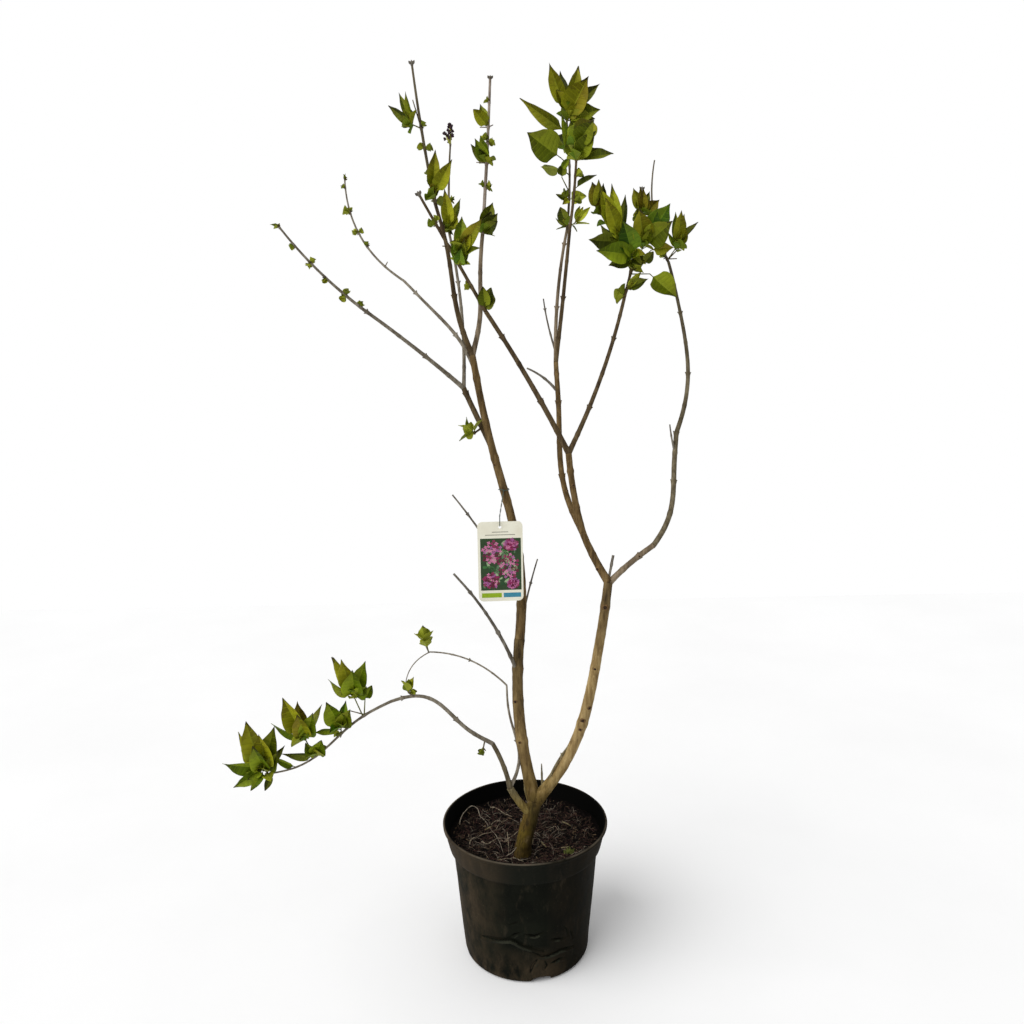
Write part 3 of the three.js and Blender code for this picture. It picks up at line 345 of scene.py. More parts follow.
def leaning(axis, turn, lean):
    """The way a leaf grows that leans off an axis, and the way its upper side faces."""
    outward = around(shoot_axes(axis), turn)
    return axis * math.cos(lean) + outward * math.sin(lean), axis * math.sin(lean) - outward * math.cos(lean)


def closed_faces(rows, sides, inward=False):
    """Faces round rows of points, and a fan at each end to one more point; these two come after the rows."""
    faces = [
        (r * sides + c, r * sides + (c + 1) % sides, (r + 1) * sides + (c + 1) % sides, (r + 1) * sides + c)
        for r in range(rows - 1)
        for c in range(sides)
    ]
    hub, top = rows * sides, (rows - 1) * sides
    fans = [(hub, i, (i + 1) % sides) for i in range(sides)]
    fans += [(hub + 1, top + (i + 1) % sides, top + i) for i in range(sides)]
    if inward:
        return faces + [(middle, b, a) for middle, a, b in fans]
    return [face[::-1] for face in faces] + fans


def prism_faces(count):
    """Faces of a prism whose two outlines of count points follow each other."""
    faces = [tuple(range(count)), tuple(reversed(range(count, 2 * count)))]
    return faces + [(i, i + count, (i + 1) % count + count, (i + 1) % count) for i in range(count)]


def add_object(name, data):
    thing = bpy.data.objects.new(name, data)
    bpy.context.scene.collection.objects.link(thing)
    return thing


class Batch:
    """Faces gathered for one object, each with the number of its material."""

    def __init__(self):
        self.points, self.faces, self.looks, self.count = [], [], [], 0

    def add(self, points, faces, looks):
        self.points.append(np.asarray(points, float))
        self.faces += [tuple(i + self.count for i in face) for face in faces]
        self.looks += [looks] * len(faces) if isinstance(looks, int) else looks
        self.count += len(points)

    def build(self, name, materials, slot, nodes=(), smooth=True):
        mesh = bpy.data.meshes.new(name)
        mesh.from_pydata((np.concatenate(self.points) / 1000).tolist(), [], self.faces)
        for material in materials:
            mesh.materials.append(material)
        mesh.polygons.foreach_set("material_index", self.looks)
        mesh.polygons.foreach_set("use_smooth", [smooth] * len(self.faces))
        mesh.update()
        piece = add_object(name, mesh)
        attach(piece, "root")
        if nodes:
            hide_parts(*nodes)
        return piece


def tube(batch, centres, radii, sides, look=0, relief=None, reference=None):
    """A closed tube round the centres. relief(ring, angle) is a factor on the radius."""
    centres = np.asarray(centres, float)
    if reference is None:
        reference = reference_for(unit(centres[-1] - centres[0]))
    points = []
    for ring, (centre, tangent) in enumerate(zip(centres, np.gradient(centres, axis=0))):
        axes = cross_axes(unit(tangent), reference)
        for angle in np.linspace(0, 2 * math.pi, sides, endpoint=False):
            points.append(centre + radii[ring] * (relief(ring, angle) if relief else 1) * around(axes, angle))
    batch.add(points + [centres[0], centres[-1]], closed_faces(len(centres), sides), look)


def ovoid(batch, root, axis, radius, length, look, sides=6):
    """A small pointed bud that stands on its root."""
    shares = np.array([0, 0.25, 0.55, 0.82, 1])
    widths = np.array([0.55, 0.95, 0.9, 0.5, 0.08]) * radius
    tube(batch, root + np.outer(shares * length, axis), widths, sides, look)


# ---------- Materials ----------

MIX_FACTOR, MIX_UNDER, MIX_OVER, MIX_COLOUR = 0, 6, 7, 2  # the colour sockets of a Mix node


def srgb(red, green, blue):
    """A colour given as 0 to 255, as it looks on a screen, in linear light."""

    def linear(level):
        level /= 255
        return level / 12.92 if level <= 0.04045 else ((level + 0.055) / 1.055) ** 2.4

    return linear(red), linear(green), linear(blue), 1.0


def darkened(colour, share):
    return tuple(level * share for level in colour)


class Surface:
    """A node material with the few nodes that the looks below share. Colours are given as for srgb."""

    def __init__(self, name, specular):
        self.material = bpy.data.materials.new(name)
        self.material.use_nodes = True
        self.tree = self.material.node_tree
        self.shader = self.tree.nodes["Principled BSDF"]
        self.feed(self.shader, {"Specular IOR Level": specular})
        self.place = self.node("TexCoord", {}).outputs["Object"]

    def feed(self, node, inputs):
        """Sets each input, named or numbered, to a plain value, or links it to a socket."""
        for name, value in inputs.items():
            if isinstance(value, bpy.types.NodeSocket):
                self.tree.links.new(value, node.inputs[name])
            else:
                node.inputs[name].default_value = value

    def node(self, kind, inputs, **settings):
        node = self.tree.nodes.new("ShaderNode" + kind)
        for name, value in settings.items():
            setattr(node, name, value)
        self.feed(node, inputs)
        return node

    def stretched(self, scale):
        return self.node("Mapping", {"Scale": scale, "Vector": self.place}).outputs["Vector"]

    def noise(self, scale, detail=4, stretch=(1, 1, 1), rough=0.55):
        inputs = {"Scale": scale, "Detail": detail, "Roughness": rough, "Vector": self.stretched(stretch)}
        return self.node("TexNoise", inputs).outputs["Fac"]

    def ramp(self, factor, *stops):
        """A colour ramp: each stop is a place from 0 to 1 and a colour."""
        node = self.node("ValToRGB", {"Fac": factor})
        elements = node.color_ramp.elements
        while len(elements) < len(stops):
            elements.new(0.5)
        for element, (place, colour) in zip(elements, stops):
            element.position, element.color = place, srgb(*colour)
        return node.outputs["Color"]

    def mask(self, factor, low, high, start=0, end=1):
        """Runs from start, where the factor is low, to end, where it is high, and stays there beyond."""
        inputs = {"From Min": low, "From Max": high, "To Min": start, "To Max": end, "Value": factor}
        return self.node("MapRange", inputs).outputs["Result"]

    def noise_mask(self, low, high, *sizes):
        return self.mask(self.noise(*sizes), low, high)

    def math(self, operation, *values):
        return self.node("Math", dict(enumerate(values)), operation=operation).outputs["Value"]

    def times(self, *values):
        return reduce(lambda product, value: self.math("MULTIPLY", product, value), values)

    def blend(self, factor, under, over):
        """Mixes two colours, each a socket or a plain colour."""
        under, over = (srgb(*tone) if isinstance(tone, tuple) else tone for tone in (under, over))
        inputs = {MIX_FACTOR: factor, MIX_UNDER: under, MIX_OVER: over}
        return self.node("Mix", inputs, data_type="RGBA").outputs[MIX_COLOUR]

    def layers(self, under, *layers):
        """Lays colours over one another, each as far as the product of what follows it."""

        def lay(colour, layer):
            tone, *factors = layer
            return self.blend(self.times(*factors), colour, tone)

        return reduce(lay, layers, under)

    def axis(self, letter):
        return self.node("SeparateXYZ", {"Vector": self.place}).outputs[letter]

    def finish(self, colour, grain, rough, relief, strength, depth):
        """Wires the colour, a roughness that follows the grain between two values, and a relief."""
        bump = self.node("Bump", {"Strength": strength, "Distance": depth, "Height": relief})
        self.feed(self.shader, {"Base Color": colour, "Normal": bump.outputs["Normal"]})
        self.feed(self.shader, {"Roughness": self.mask(grain, 0, 1, *rough)})
        return self.material


def bark_look(name, pale, mid, dark, moss=None, upper=None):
    """Bark: fine streaks, darker patches, pale pores, a green film low down with painted shade on the right
    of the foot, and an upper end of its own.
    """
    look = Surface(name, 0.12)
    height = look.axis("Z")
    streaks, patches = look.noise(150, 7, (1, 1, 0.16), 0.6), look.noise(26, 5, (1, 1, 0.7), 0.6)
    pores = look.node("TexVoronoi", {"Scale": 150, "Vector": look.stretched((1, 1, 0.55))})
    colour = look.layers(
        look.ramp(streaks, (0.3, dark), (0.48, mid), (0.7, pale)),
        (dark, look.mask(patches, 0.5, 0.72), 0.6),
        (pale, look.mask(patches, 0.46, 0.3), 0.35),
        (pale, look.mask(pores.outputs["Distance"], 0.2, 0.12), 0.5),
        (dark, look.noise_mask(0.6, 0.7, 520, 3, (1, 1, 0.5)), 0.5),
    )
    if upper:
        tone, low, high = upper
        end = look.ramp(streaks, (0.3, (0, 0, 0)), (0.7, tone))
        colour = look.layers(colour, (end, look.mask(height, low, high), 0.75))
    if moss:
        film = look.times(look.mask(height, 0.36, 0.25), look.noise_mask(0.24, 0.44, 70, 6))
        right = look.mask(look.axis("X"), -0.003, 0.011)
        cracks = look.noise_mask(0.5, 0.6, 250, 6, (1, 1, 0.16), 0.8)
        colour = look.layers(
            colour,
            (moss, film),
            ((84, 62, 30), film, look.noise_mask(0.5, 0.6, 64, 5, (1, 1, 0.5)), 0.6),
            # painted shade: the right side of the trunk's foot is darker
            ((34, 28, 10), look.mask(height, 0.31, 0.275), right, 0.8),
            ((34, 26, 8), cracks, look.mask(height, 0.36, 0.28), 0.8),
            ((42, 32, 14), look.mask(height, 0.262, 0.212), 0.62),
        )
    relief = look.math("ADD", streaks, look.noise(420, 4, (1, 1, 0.4)))
    return look.finish(colour, streaks, (0.6, 0.9), relief, 0.6, 0.0006)


def plain_look(name, colour, other, scale, rough=(0.45, 0.65), bump=0.2, specular=0.2):
    """One colour that drifts to another over a fine noise, with a little relief."""
    look = Surface(name, specular)
    drift = look.noise(scale, 5)
    drifting = look.ramp(drift, (0.35, colour), (0.65, other))
    return look.finish(drifting, drift, rough, look.noise(scale * 6, 4), bump, 0.0004)


# ---------- Trunk and boughs ----------

# The barks: the limbs and sprays that wear each, its pale, middle and dark tone, its green film, where it has
# one, and the tone of its upper end with the heights, in metres, over which that comes in.
BARKS = {
    "stem_bark": (
        "trunk right_stem",
        (176, 154, 108), (141, 118, 76), (94, 74, 44), (106, 88, 28), ((84, 66, 40), 0.53, 0.64),
    ),
    "left_bark": (
        "left_stem_lower",
        (144, 122, 80), (110, 90, 55), (71, 54, 31), (90, 74, 20), ((88, 72, 43), 0.38, 0.53),
    ),
    "foot_bark": (
        "low_bough_foot stub_fork stem_runner spike_foot",
        (150, 132, 80), (118, 101, 54), (78, 63, 30), None, ((148, 139, 112), 0.286, 0.322),
    ),
    "upper_bark": (
        "left_stem_upper right_stem_upper front_bough back_bough",
        (126, 104, 68), (90, 71, 41), (54, 40, 22),
    ),
    "brown_bark": (
        "left_upright crossing_bough crossing_spray right_bough right_spray side_bough side_sprout"
        " tall_bough_right top_right_spray",
        (106, 90, 64), (75, 61, 40), (46, 35, 24),
    ),
    "olive_bark": (
        "left_spray low_bough_rise outer_bough_middle outer_bough_upper outer_spray top_spray arch_sprout"
        " knee_sprout flower_spray",
        (125, 115, 92), (91, 82, 62), (58, 49, 35),
    ),
    "grey_bark": (
        "flower_bough low_bough_arch low_spray thin_bough_foot thin_bough_arch thin_spray curved_bough"
        " curved_spray long_bough long_spray",
        (152, 144, 129), (115, 107, 92), (76, 67, 56),
    ),
    "pink_bark": (
        "middle_upright outer_bough_foot tall_bough_left",
        (148, 132, 110), (110, 96, 76), (72, 60, 47),
    ),
    "pale_bark": ("middle_spray", (172, 160, 148), (140, 127, 114), (98, 84, 72)),
    "dead_bark": (
        "dead_twig_low dead_twig_label dead_twig_inner dead_twig_high dead_twig_short spur_fork spur_outer",
        (134, 128, 116), (93, 87, 77), (52, 47, 40),
    ),
}
BARK_LOOKS = {look: bark_look(look, *tones) for look, (_, *tones) in BARKS.items()}
BARK_OF = {name: BARK_LOOKS[look] for look, (names, *_) in BARKS.items() for name in names.split()}
WOOD, SCAR, SCAR_RIM = range(3)  # the numbers of a limb's looks
SCAR_LOOKS = [
    plain_look("scar", (54, 37, 20), (32, 21, 12), 200, (0.7, 0.9)),
    plain_look("scar_rim", (112, 86, 52), (84, 62, 36), 200, (0.7, 0.9)),
]
# Scars of lost twigs: share of the limb's length, turn about it and size. Turn 0 faces the viewer, and 90 is
# at the right.
SCARS = {
    "left_stem_lower": ((0.37, -22, 1.9), (0.62, -30, 2.4), (0.82, 70, 2.0)),
    "right_stem": ((0.642, -10, 2.5), (0.478, 20, 2.0), (0.42, -14, 2.6), (0.381, -10, 2.0), (0.9, -8, 3.2)),
    "right_stem_upper": ((0.3, -40, 2.2),),
    "outer_bough_foot": ((0.7, 0, 1.3),),
    "left_stem_upper": ((0.3, 20, 1.5), (0.62, -30, 1.4)),
    "front_bough": ((0.6, 10, 1.6),),
    "back_bough": ((0.25, 40, 1.4),),
}
# Where the knots of the main stems are, as shares of their length.
KNOTS = {
    "left_stem_lower": (0.12, 0.37, 0.62, 0.82, 0.99),
    "right_stem": (0.2, 0.4, 0.64, 0.9),
    "outer_bough_foot": (0.35, 0.7, 1),
    "outer_bough_middle": (0.3, 0.57, 0.82, 1),
    "outer_bough_upper": (0.16, 0.34, 0.52, 0.69, 0.86),
}
KNOT_GAP, KNOT_GAP_PER_RADIUS = 34, 5  # between the knots of the other limbs
KNOT_REACH, KNOT_HEIGHT, KNOT_LUMPS = 2.8, 0.12, 0.13  # along the stem, all round it and at two sides
RIDGE_HEIGHT, BUMP_HEIGHT, SMOOTH_END = 0.07, 0.045, 8
KNOTTY_RADIUS = 4.6  # limbs thicker than this have flatter knots
BUDDED_RADIUS = 5  # limbs thinner than this have dormant buds at their knots
DORMANT_RADIUS, DORMANT_LENGTH, DEAD_BUD = 1.2, 4.2, 0.8
BASE_SWELL, SWELL_LENGTH = 0.25, 16  # where a limb leaves its parent
# A limb this thick against the end of its parent continues it: it starts as thick as the parent ends.
CONTINUES, AT_END = 0.72, 0.97
DEAD_THICKER, DEAD_ROUGH = 1.15, 2.2  # bark that lifts off the dead wood
LIMB_STEP = 2.5
TRUNK_FLARE, TRUNK_ROUGH, TRUNK_RINGS, TRUNK_SIDES, TRUNK_SUNK = 0.1, 2.4, 34, 28, 5
LOBE_HEIGHT, LOBE_DEPTH = 14, 0.1  # the trunk's foot spreads in three lobes

paths, end_radii = {}, {}


def bark_relief(name, lengths, knots, rough, swell=1.0):
    """Ridges along a stem, small bumps, and a swelling with two side lumps at each knot; smooth ends."""
    seed = sum(map(ord, name))
    length = lengths[-1]

    def relief(ring, angle):
        along = lengths[ring]
        c, s = math.cos(angle), math.sin(angle)
        ridge = noise_at(c * 1.6 + seed, s * 1.6, along * 0.018)
        bumps = noise_at(c * 3 + seed, s * 3, along * 0.11)
        fade = min(1, along / SMOOTH_END, (length - along) / SMOOTH_END)
        factor = 1 + rough * (RIDGE_HEIGHT * ridge + BUMP_HEIGHT * bumps) * fade
        for number, knot in enumerate(knots):
            near = math.exp(-(((along - knot) * swell / KNOT_REACH) ** 2))
            if near > 0.01:
                side = math.cos(2 * (angle + math.pi / 2 * (number % 2)))
                factor += near * rough * swell * (KNOT_HEIGHT + KNOT_LUMPS * max(0, side))
        return factor

    return relief


def knot_places(name, length, radius):
    """Joints along a stem: closer together on thin ones."""
    draw = random_from(sum(map(ord, name)))
    gap = KNOT_GAP + KNOT_GAP_PER_RADIUS * radius
    place, places = gap * mix(0.4, 0.8, draw()), []
    while place < length - 6:
        places.append(place)
        place += gap * mix(0.75, 1.25, draw())
    return places


def stem(batch, name, path, radius_at, knots, sides, step, rough=1.0, swell=1.0):
    shares = np.linspace(0, 1, max(4, round(path.length / step)) + 1)
    relief = bark_relief(name, shares * path.length, knots, rough, swell)
    tube(batch, path.point(shares), [radius_at(share) for share in shares], sides, relief=relief)


def dormant_buds(batch, path, radius_at, knots, size):
    """A pair of small pointed buds on opposite sides at each knot, every other pair a quarter turn on."""
    for number, knot in enumerate(knots):
        share = knot / path.length
        tangent = path.tangent(share)
        outward = around(cross_axes(tangent, reference_for(tangent)), math.radians(90 * number))
        for way in (1, -1):
            root = path.point(share) + outward * way * radius_at(share) * 0.8
            way_out = unit(outward * way + tangent * 1.4)
            ovoid(batch, root, way_out, DORMANT_RADIUS * size, DORMANT_LENGTH * size, WOOD)


def scar(batch, path, radius, share, turn, size):
    """A dark, slightly raised scar where a twig was lost, in a pale rim."""
    turn = math.radians(turn)
    outward, _ = cross_axes(path.tangent(share), vec(math.sin(turn), -math.cos(turn), 0))
    centre = path.point(share) + outward * (radius * 1.05 - 0.4)
    ovoid(batch, centre - outward, outward, size * 1.9, 1.9, SCAR_RIM, 14)
    ovoid(batch, centre, outward, size, 1.6, SCAR, 12)


def make_trunk():
    foot, tip, bow, (base, top) = TRUNK
    path = paths["trunk"] = LimbPath(foot, tip, bow)
    sunk = LimbPath(path.start - vec(0, 0, TRUNK_SUNK), tip, bow)
    shares = np.linspace(0, 1, TRUNK_RINGS + 1)
    rise = shares * path.length
    grain = bark_relief("trunk", rise, [], TRUNK_ROUGH)

    def relief(ring, angle):
        spread = math.exp(-rise[ring] / LOBE_HEIGHT)
        lobes = 0.5 + 0.5 * math.cos(3 * angle + 0.6)
        return grain(ring, angle) * (1 + LOBE_DEPTH * spread * lobes)

    batch = Batch()
    radii = [mix(base, top, share) * (1 + TRUNK_FLARE * (1 - share) ** 3) for share in shares]
    tube(batch, sunk.point(shares), radii, TRUNK_SIDES, relief=relief)
    batch.build("trunk_bark", [BARK_OF["trunk"]], "bark", ["trunk"])
    end_radii["trunk"] = top


def make_limb(name, limb, dead):
    parent, at, tip, bow, (base, top), *sway = limb
    path = paths[name] = LimbPath(paths[parent].point(at), tip, bow, *sway)
    end_radii[name] = top
    parent_end = end_radii[parent]
    swell = parent_end / base - 1 if at > AT_END and base > CONTINUES * parent_end else BASE_SWELL
    if dead:
        base, top = base * DEAD_THICKER, top * DEAD_THICKER

    def radius(share):
        return mix(base, top, share) * (1 + swell * math.exp(-share * path.length / SWELL_LENGTH))

    if name in KNOTS:
        knots = [share * path.length for share in KNOTS[name]]
    else:
        knots = knot_places(name, path.length, base)
    sides = 24 if base > 7 else 16 if base > 3 else 10
    batch = Batch()
    rough, flatter = DEAD_ROUGH if dead else 1.0, min(1, KNOTTY_RADIUS / base)
    stem(batch, name, path, radius, knots, sides, LIMB_STEP, rough, flatter)
    if base < BUDDED_RADIUS:
        dormant_buds(batch, path, radius, knots, DEAD_BUD if dead else 1.0)
    for share, turn, size in SCARS.get(name, ()):
        scar(batch, path, radius(share), share, turn, size)
    batch.build(name + "_bark", [BARK_OF[name], *SCAR_LOOKS], "deadwood" if dead else "bark", [name])


make_trunk()
for limbs, is_dead in ((LIMBS, False), (DEAD_LIMBS, True)):
    for limb_name, limb_sizes in limbs.items():
        make_limb(limb_name, limb_sizes, is_dead)

# ---------- Leaves ----------

# What each letter of a shoot's tints means: a colour near the stalk, in the middle of the blade and towards
# its tip.
LEAF_COLOURS = {
    "o": ("olive", (106, 114, 8), (118, 118, 4), (110, 105, 5)),
    "b": ("bronze", (96, 98, 6), (110, 98, 4), (90, 76, 6)),
    "g": ("green", (100, 114, 6), (95, 107, 3), (80, 87, 3)),
    "d": ("dark", (80, 91, 6), (66, 76, 3), (55, 59, 4)),
    "e": ("emerald", (66, 104, 4), (52, 86, 2), (46, 72, 2)),
    "m": ("bright", (112, 134, 8), (102, 124, 4), (86, 103, 4)),
    "v": ("vivid", (90, 128, 8), (78, 116, 4), (68, 98, 4)),
    "y": ("yellow", (150, 156, 18), (142, 144, 8), (124, 120, 8)),
    "q": ("sunny", (188, 198, 44), (174, 183, 22), (150, 152, 12)),
    "p": ("pale", (144, 156, 56), (146, 154, 58), (128, 130, 44)),
    "l": ("lime", (162, 174, 42), (164, 172, 34), (136, 142, 22)),
}
# Painted light and shade across the fold: the yellow half stands for the lit side, the bronze half for the
# shaded side.
HALVES_PAINTED_LIT_AND_SHADED = {"h": "yb", "k": "by"}  # the colours of the left and the right half
ZONES = (("base", 0.32), ("mid", 0.68), ("far", 0.98), ("tip", 9))  # where each ends, as a share of the blade
LIT_COLOUR, LIT_SHARE, SHADE = (222, 222, 92), 0.26, 0.86
TIP_COLOUR, RIB_COLOUR, UNDER_COLOUR = (50, 44, 30), (172, 176, 70), (118, 126, 54)
OTHER_LOOKS = {
    "stalk": ("green_stalk", (104, 112, 36), (84, 80, 34), 120),
    "scale": ("bud_scale", (104, 106, 36), (78, 60, 28), 160),
    "dark_scale": ("dark_scale", (58, 48, 32), (36, 28, 20), 160),
    "flower": ("flower_bud", (62, 36, 46), (34, 20, 26), 200),
    "pale_stalk": ("pale_stalk", (176, 178, 84), (140, 138, 58), 160),
}


def leaf_looks():
    """The materials of the leaves and what goes with them, and the number of each.

    A leaf colour has three zones and a tip on a lit and a shaded half, veins, midrib and underside.
    """

    def tinted(colour, other, share):
        return tuple(mix(a, b, share) for a, b in zip(colour, other))

    looks, numbers = [], {}
    for letter, (name, base, middle, far) in LEAF_COLOURS.items():
        shades = {}
        for zone, colour in (("base", base), ("mid", middle), ("far", far)):
            shades[zone + "_lit"] = tinted(colour, LIT_COLOUR, LIT_SHARE)
            shades[zone + "_shade"] = darkened(colour, SHADE)
        shades |= {
            "tip_lit": tinted(far, TIP_COLOUR, 0.6),
            "tip_shade": tinted(far, TIP_COLOUR, 0.85),
            "vein": tinted(middle, RIB_COLOUR, 0.16),
            "rib": tinted(base, RIB_COLOUR, 0.36),
            "under": tinted(middle, UNDER_COLOUR, 0.42),
        }
        for part, colour in shades.items():
            numbers[letter, part] = len(looks)
            shade = darkened(colour, 0.88)
            look = plain_look(f"leaf_{name}_{part}", colour, shade, 60, (0.45, 0.62), 0.12, 0.1)
            looks.append(look)
    for name, sizes in OTHER_LOOKS.items():
        numbers[name] = len(looks)
        looks.append(plain_look(*sizes))
    return looks, numbers


LEAF_LOOKS, LOOK = leaf_looks()
LARGE_LEAF = 24  # longer leaves have side veins and more faces across
YOUNG_LENGTH = 24  # shorter leaves of a whorl are young: blunt, broad and cupped
BUD_LENGTH, JUST_OPENED = 20, 0.84  # shoots with leaves shorter than this have only just opened
SMALL_FAN = 38  # a fan of leaves no longer than this has no small leaves between, and its leaves are blunt
VEINS, VEIN_WIDTH, VEIN_SLANT, VEIN_RELIEF = 6, 0.012, 0.17, 0.009
LARGE_STALK, SMALL_STALK = 0.1, 0.04
BLADE_SPREAD, BLADE_THICKNESS, RIB_SUNK = 1.22, 0.35, 0.3
LEAF_FOLD, YOUNG_FOLD, LEAF_CURL = 0.42, 0.75, 0.08
WHORL_FOLD, WHORL_BROAD, WHORL_INNER, WHORL_LOWEST, WHORL_SHORTEST = 0.5, 0.62, 0.2, 0.45, 0.85
SHARP_SHARE, SHARP_BROAD = 0.12, 0.3  # narrow dark leaves among young ones
ANGLE_JITTER, SPIN_JITTER = 8, 24
SPIRAL = 2.4  # the turn, in radians, from one small leaf or printed flower to the next
HEART_RISE, SMALL_FOLD = 20, 0.8
FOLDS, WAVES, BENDS = (0.8, 1.7), (0.01, 0.035), (-0.05, 0.05)  # least and most; the last two per length
FAN_SPACING = 1.5
SHOOT_RADIUS = (1.1, 0.8)
FLOWER_REACH, FLOWER_TURN, FLOWER_LOWEST, FLOWER_KNOT = 5, 137.5, 0.3, 9
# The radius of the end buds of the bare leaders, and the number of their look.
TIP_BUDS = {"left_spray": 2.1, "middle_spray": 2.3, "crossing_spray": 2.3, "right_spray": 1.9}
DARK_BUD = 1
SPRAY_SIDES, SPRAY_STEP = 9, 2.2

LARGE_COLUMNS = (-1, -0.9, -0.68, -0.42, -0.2, -0.035, 0.035, 0.2, 0.42, 0.68, 0.9, 1)
SMALL_COLUMNS = (-1, -0.72, -0.38, -0.05, 0.05, 0.38, 0.72, 1)
# Places along the blade, and for each whether a side vein runs there (-1) or the blade swells between two.
SMALL_ROWS = [(place, 0) for place in (0, 0.06, 0.16, 0.28, 0.42, 0.56, 0.7, 0.82, 0.9, 0.96, 1)]
LARGE_ROWS = [(0, 0)]
for at_vein in np.linspace(0.07, 0.74, VEINS):
    LARGE_ROWS += [(at_vein, -1), (at_vein + VEIN_WIDTH, -1), (at_vein + 0.045, 0.8), (at_vein + 0.09, 0.8)]
LARGE_ROWS += [(0.88, 0), (0.92, 0), (0.96, 0), (1, 0)]


def blade_width(v, blunt):
    """Share of the full half width at a share of the blade: broad below the middle, drawn out to a point."""
    tip = min(1, max(0, (v - 0.7) / 0.22))
    pointed = math.sin(math.pi * min(v, 1) ** 0.7) ** 0.85 * (1 - 0.42 * tip)
    rounded = math.sin(math.pi * min(v, 1) ** 0.95) ** 0.6
    return mix(pointed, rounded, blunt) + 0.004


def leaf(batch, root, along, up, length, broad, tint, draw, fold=LEAF_FOLD, blunt=0.0):
    """One leaf: a stalk and a blade folded up along the midrib and curled down to its tip, with veins."""
    large = length > LARGE_LEAF
    stalk, rows, columns = (
        (LARGE_STALK, LARGE_ROWS, LARGE_COLUMNS) if large else (SMALL_STALK, SMALL_ROWS, SMALL_COLUMNS)
    )
    across, half = np.cross(up, along), length * broad * BLADE_SPREAD / 2
    phase, wave, bend = draw() * 2 * math.pi, mix(*WAVES, draw()) * length, mix(*BENDS, draw()) * length
    fold *= mix(*FOLDS, draw())
    left_is_lit = draw() < 0.5
    top, low = [], []
    for place, swell in rows:
        for s in columns:
            v = place + VEIN_SLANT * abs(s) * (1 - place)
            x = mix(stalk, 1, v)
            width = blade_width(v, blunt)
            lift = fold * half * width * abs(s) ** 1.25 - LEAF_CURL * length * x**2.2
            lift += wave * math.sin(7 * v + phase + s) * s * s
            if abs(s) > 0.1:
                lift += swell * VEIN_RELIEF * length * (1 - abs(s)) * min(1, abs(s) * 3)
            else:
                lift -= RIB_SUNK
            spot = root + along * x * length + across * (s * width * half + bend * x * x) + up * lift
            top.append(spot)
            low.append(spot - up * BLADE_THICKNESS * (1 - 0.5 * abs(s)))
    faces, looks = blade_faces(rows, columns, HALVES_PAINTED_LIT_AND_SHADED.get(tint, tint * 2), left_is_lit, draw)
    batch.add(top + low, faces, looks)
    thick = 0.55 + length * 0.006
    reach = root + along * length * (stalk + 0.12) - up * (0.25 + BLADE_THICKNESS / 2)
    centres = [root - along * 0.4, root + along * length * stalk * 0.5, reach]
    tube(batch, centres, [thick, thick * 0.9, thick * 0.5], 5, LOOK["stalk"])


def blade_faces(rows, columns, halves, left_is_lit, draw):
    """The faces of a blade's upper and under side and of its edges, with the look of each."""
    left, right = halves
    width, under, last = len(columns), len(rows) * len(columns), (len(rows) - 1) * len(columns)
    middle = width // 2 - 1
    faces, looks = [], []
    shift = mix(-0.06, 0.06, draw())
    for r in range(len(rows) - 1):
        vein = rows[r][1] == -1 and rows[r + 1][1] == -1
        for c in range(width - 1):
            colour = left if c < middle else right
            edge = abs(columns[c] + columns[c + 1]) / 2
            reach = (rows[r][0] + rows[r + 1][0]) / 2 + 0.16 * edge + shift + mix(-0.05, 0.05, draw())
            zone = next(name for name, end in ZONES if reach < end)
            zone += "_lit" if (c < middle) == left_is_lit else "_shade"
            a, b = r * width + c, (r + 1) * width + c
            faces += [(a, b, b + 1, a + 1), (under + a, under + a + 1, under + b + 1, under + b)]
            looks.append(LOOK[colour, "rib" if c == middle else "vein" if vein and edge < 0.9 else zone])
            looks.append(LOOK[colour, "rib" if c == middle else "vein" if vein else "under"])
    for r in range(len(rows) - 1):
        a, b = r * width, (r + 1) * width
        e, f = a + width - 1, b + width - 1
        faces += [(a, under + a, under + b, b), (e, f, under + f, under + e)]
        looks += [LOOK[left, "far_shade"], LOOK[right, "far_shade"]]
    for a in range(width - 1):
        b = last + a
        faces += [(a, a + 1, under + a + 1, under + a), (b, under + b, under + b + 1, b + 1)]
        looks += [LOOK[left, "base_shade"], LOOK[left, "tip_shade"]]
    return faces, looks


def whorl_leaves(batch, start, axis, stalk, sizes, tints, slim, random, draw):
    """Pairs of leaves up a shoot, each pair square to the one below and more closed."""
    count, length, open_angle = sizes
    first_roll = random() * 180
    last_pair = max(1, math.ceil(count / 2) - 1)
    young = length < YOUNG_LENGTH
    for i in range(count):
        pair = i // 2
        height = pair / last_pair
        lean = math.radians(open_angle * mix(1, WHORL_INNER, height) + ANGLE_JITTER * (random() - 0.5))
        turn = math.radians(first_roll + 90 * pair + 180 * (i % 2) + SPIN_JITTER * (random() - 0.5))
        root = start + axis * stalk * mix(WHORL_LOWEST, 1, height)
        size = length * mix(WHORL_SHORTEST, 1, random())
        sharp = young and (draw() < SHARP_SHARE or slim)
        blunt = 0 if sharp or not young else mix(0.65, 1, draw())
        broad = SHARP_BROAD if sharp else mix(0.62, 0.86, draw()) if young else WHORL_BROAD
        tint = "d" if sharp else tints[int(draw() * len(tints))]
        size *= JUST_OPENED if length < BUD_LENGTH and not slim else 1
        fold = YOUNG_FOLD if young else WHORL_FOLD
        leaf(batch, root, *leaning(axis, turn, lean), size, broad, tint, draw, fold, blunt)
    if length < BUD_LENGTH:  # the tight small leaves in the middle of a shoot that has only just opened
        root = start + axis * stalk
        spiral_leaves(batch, root, axis, "dglk", (15, 60), length, (0.45, 0.72), 0.5, 0.3, draw)
    if not stalk:
        bud_scales(batch, start, axis, draw)
    ovoid(batch, start + axis * max(0, stalk - 2), axis, 1.9, 6.5, LOOK["scale"])


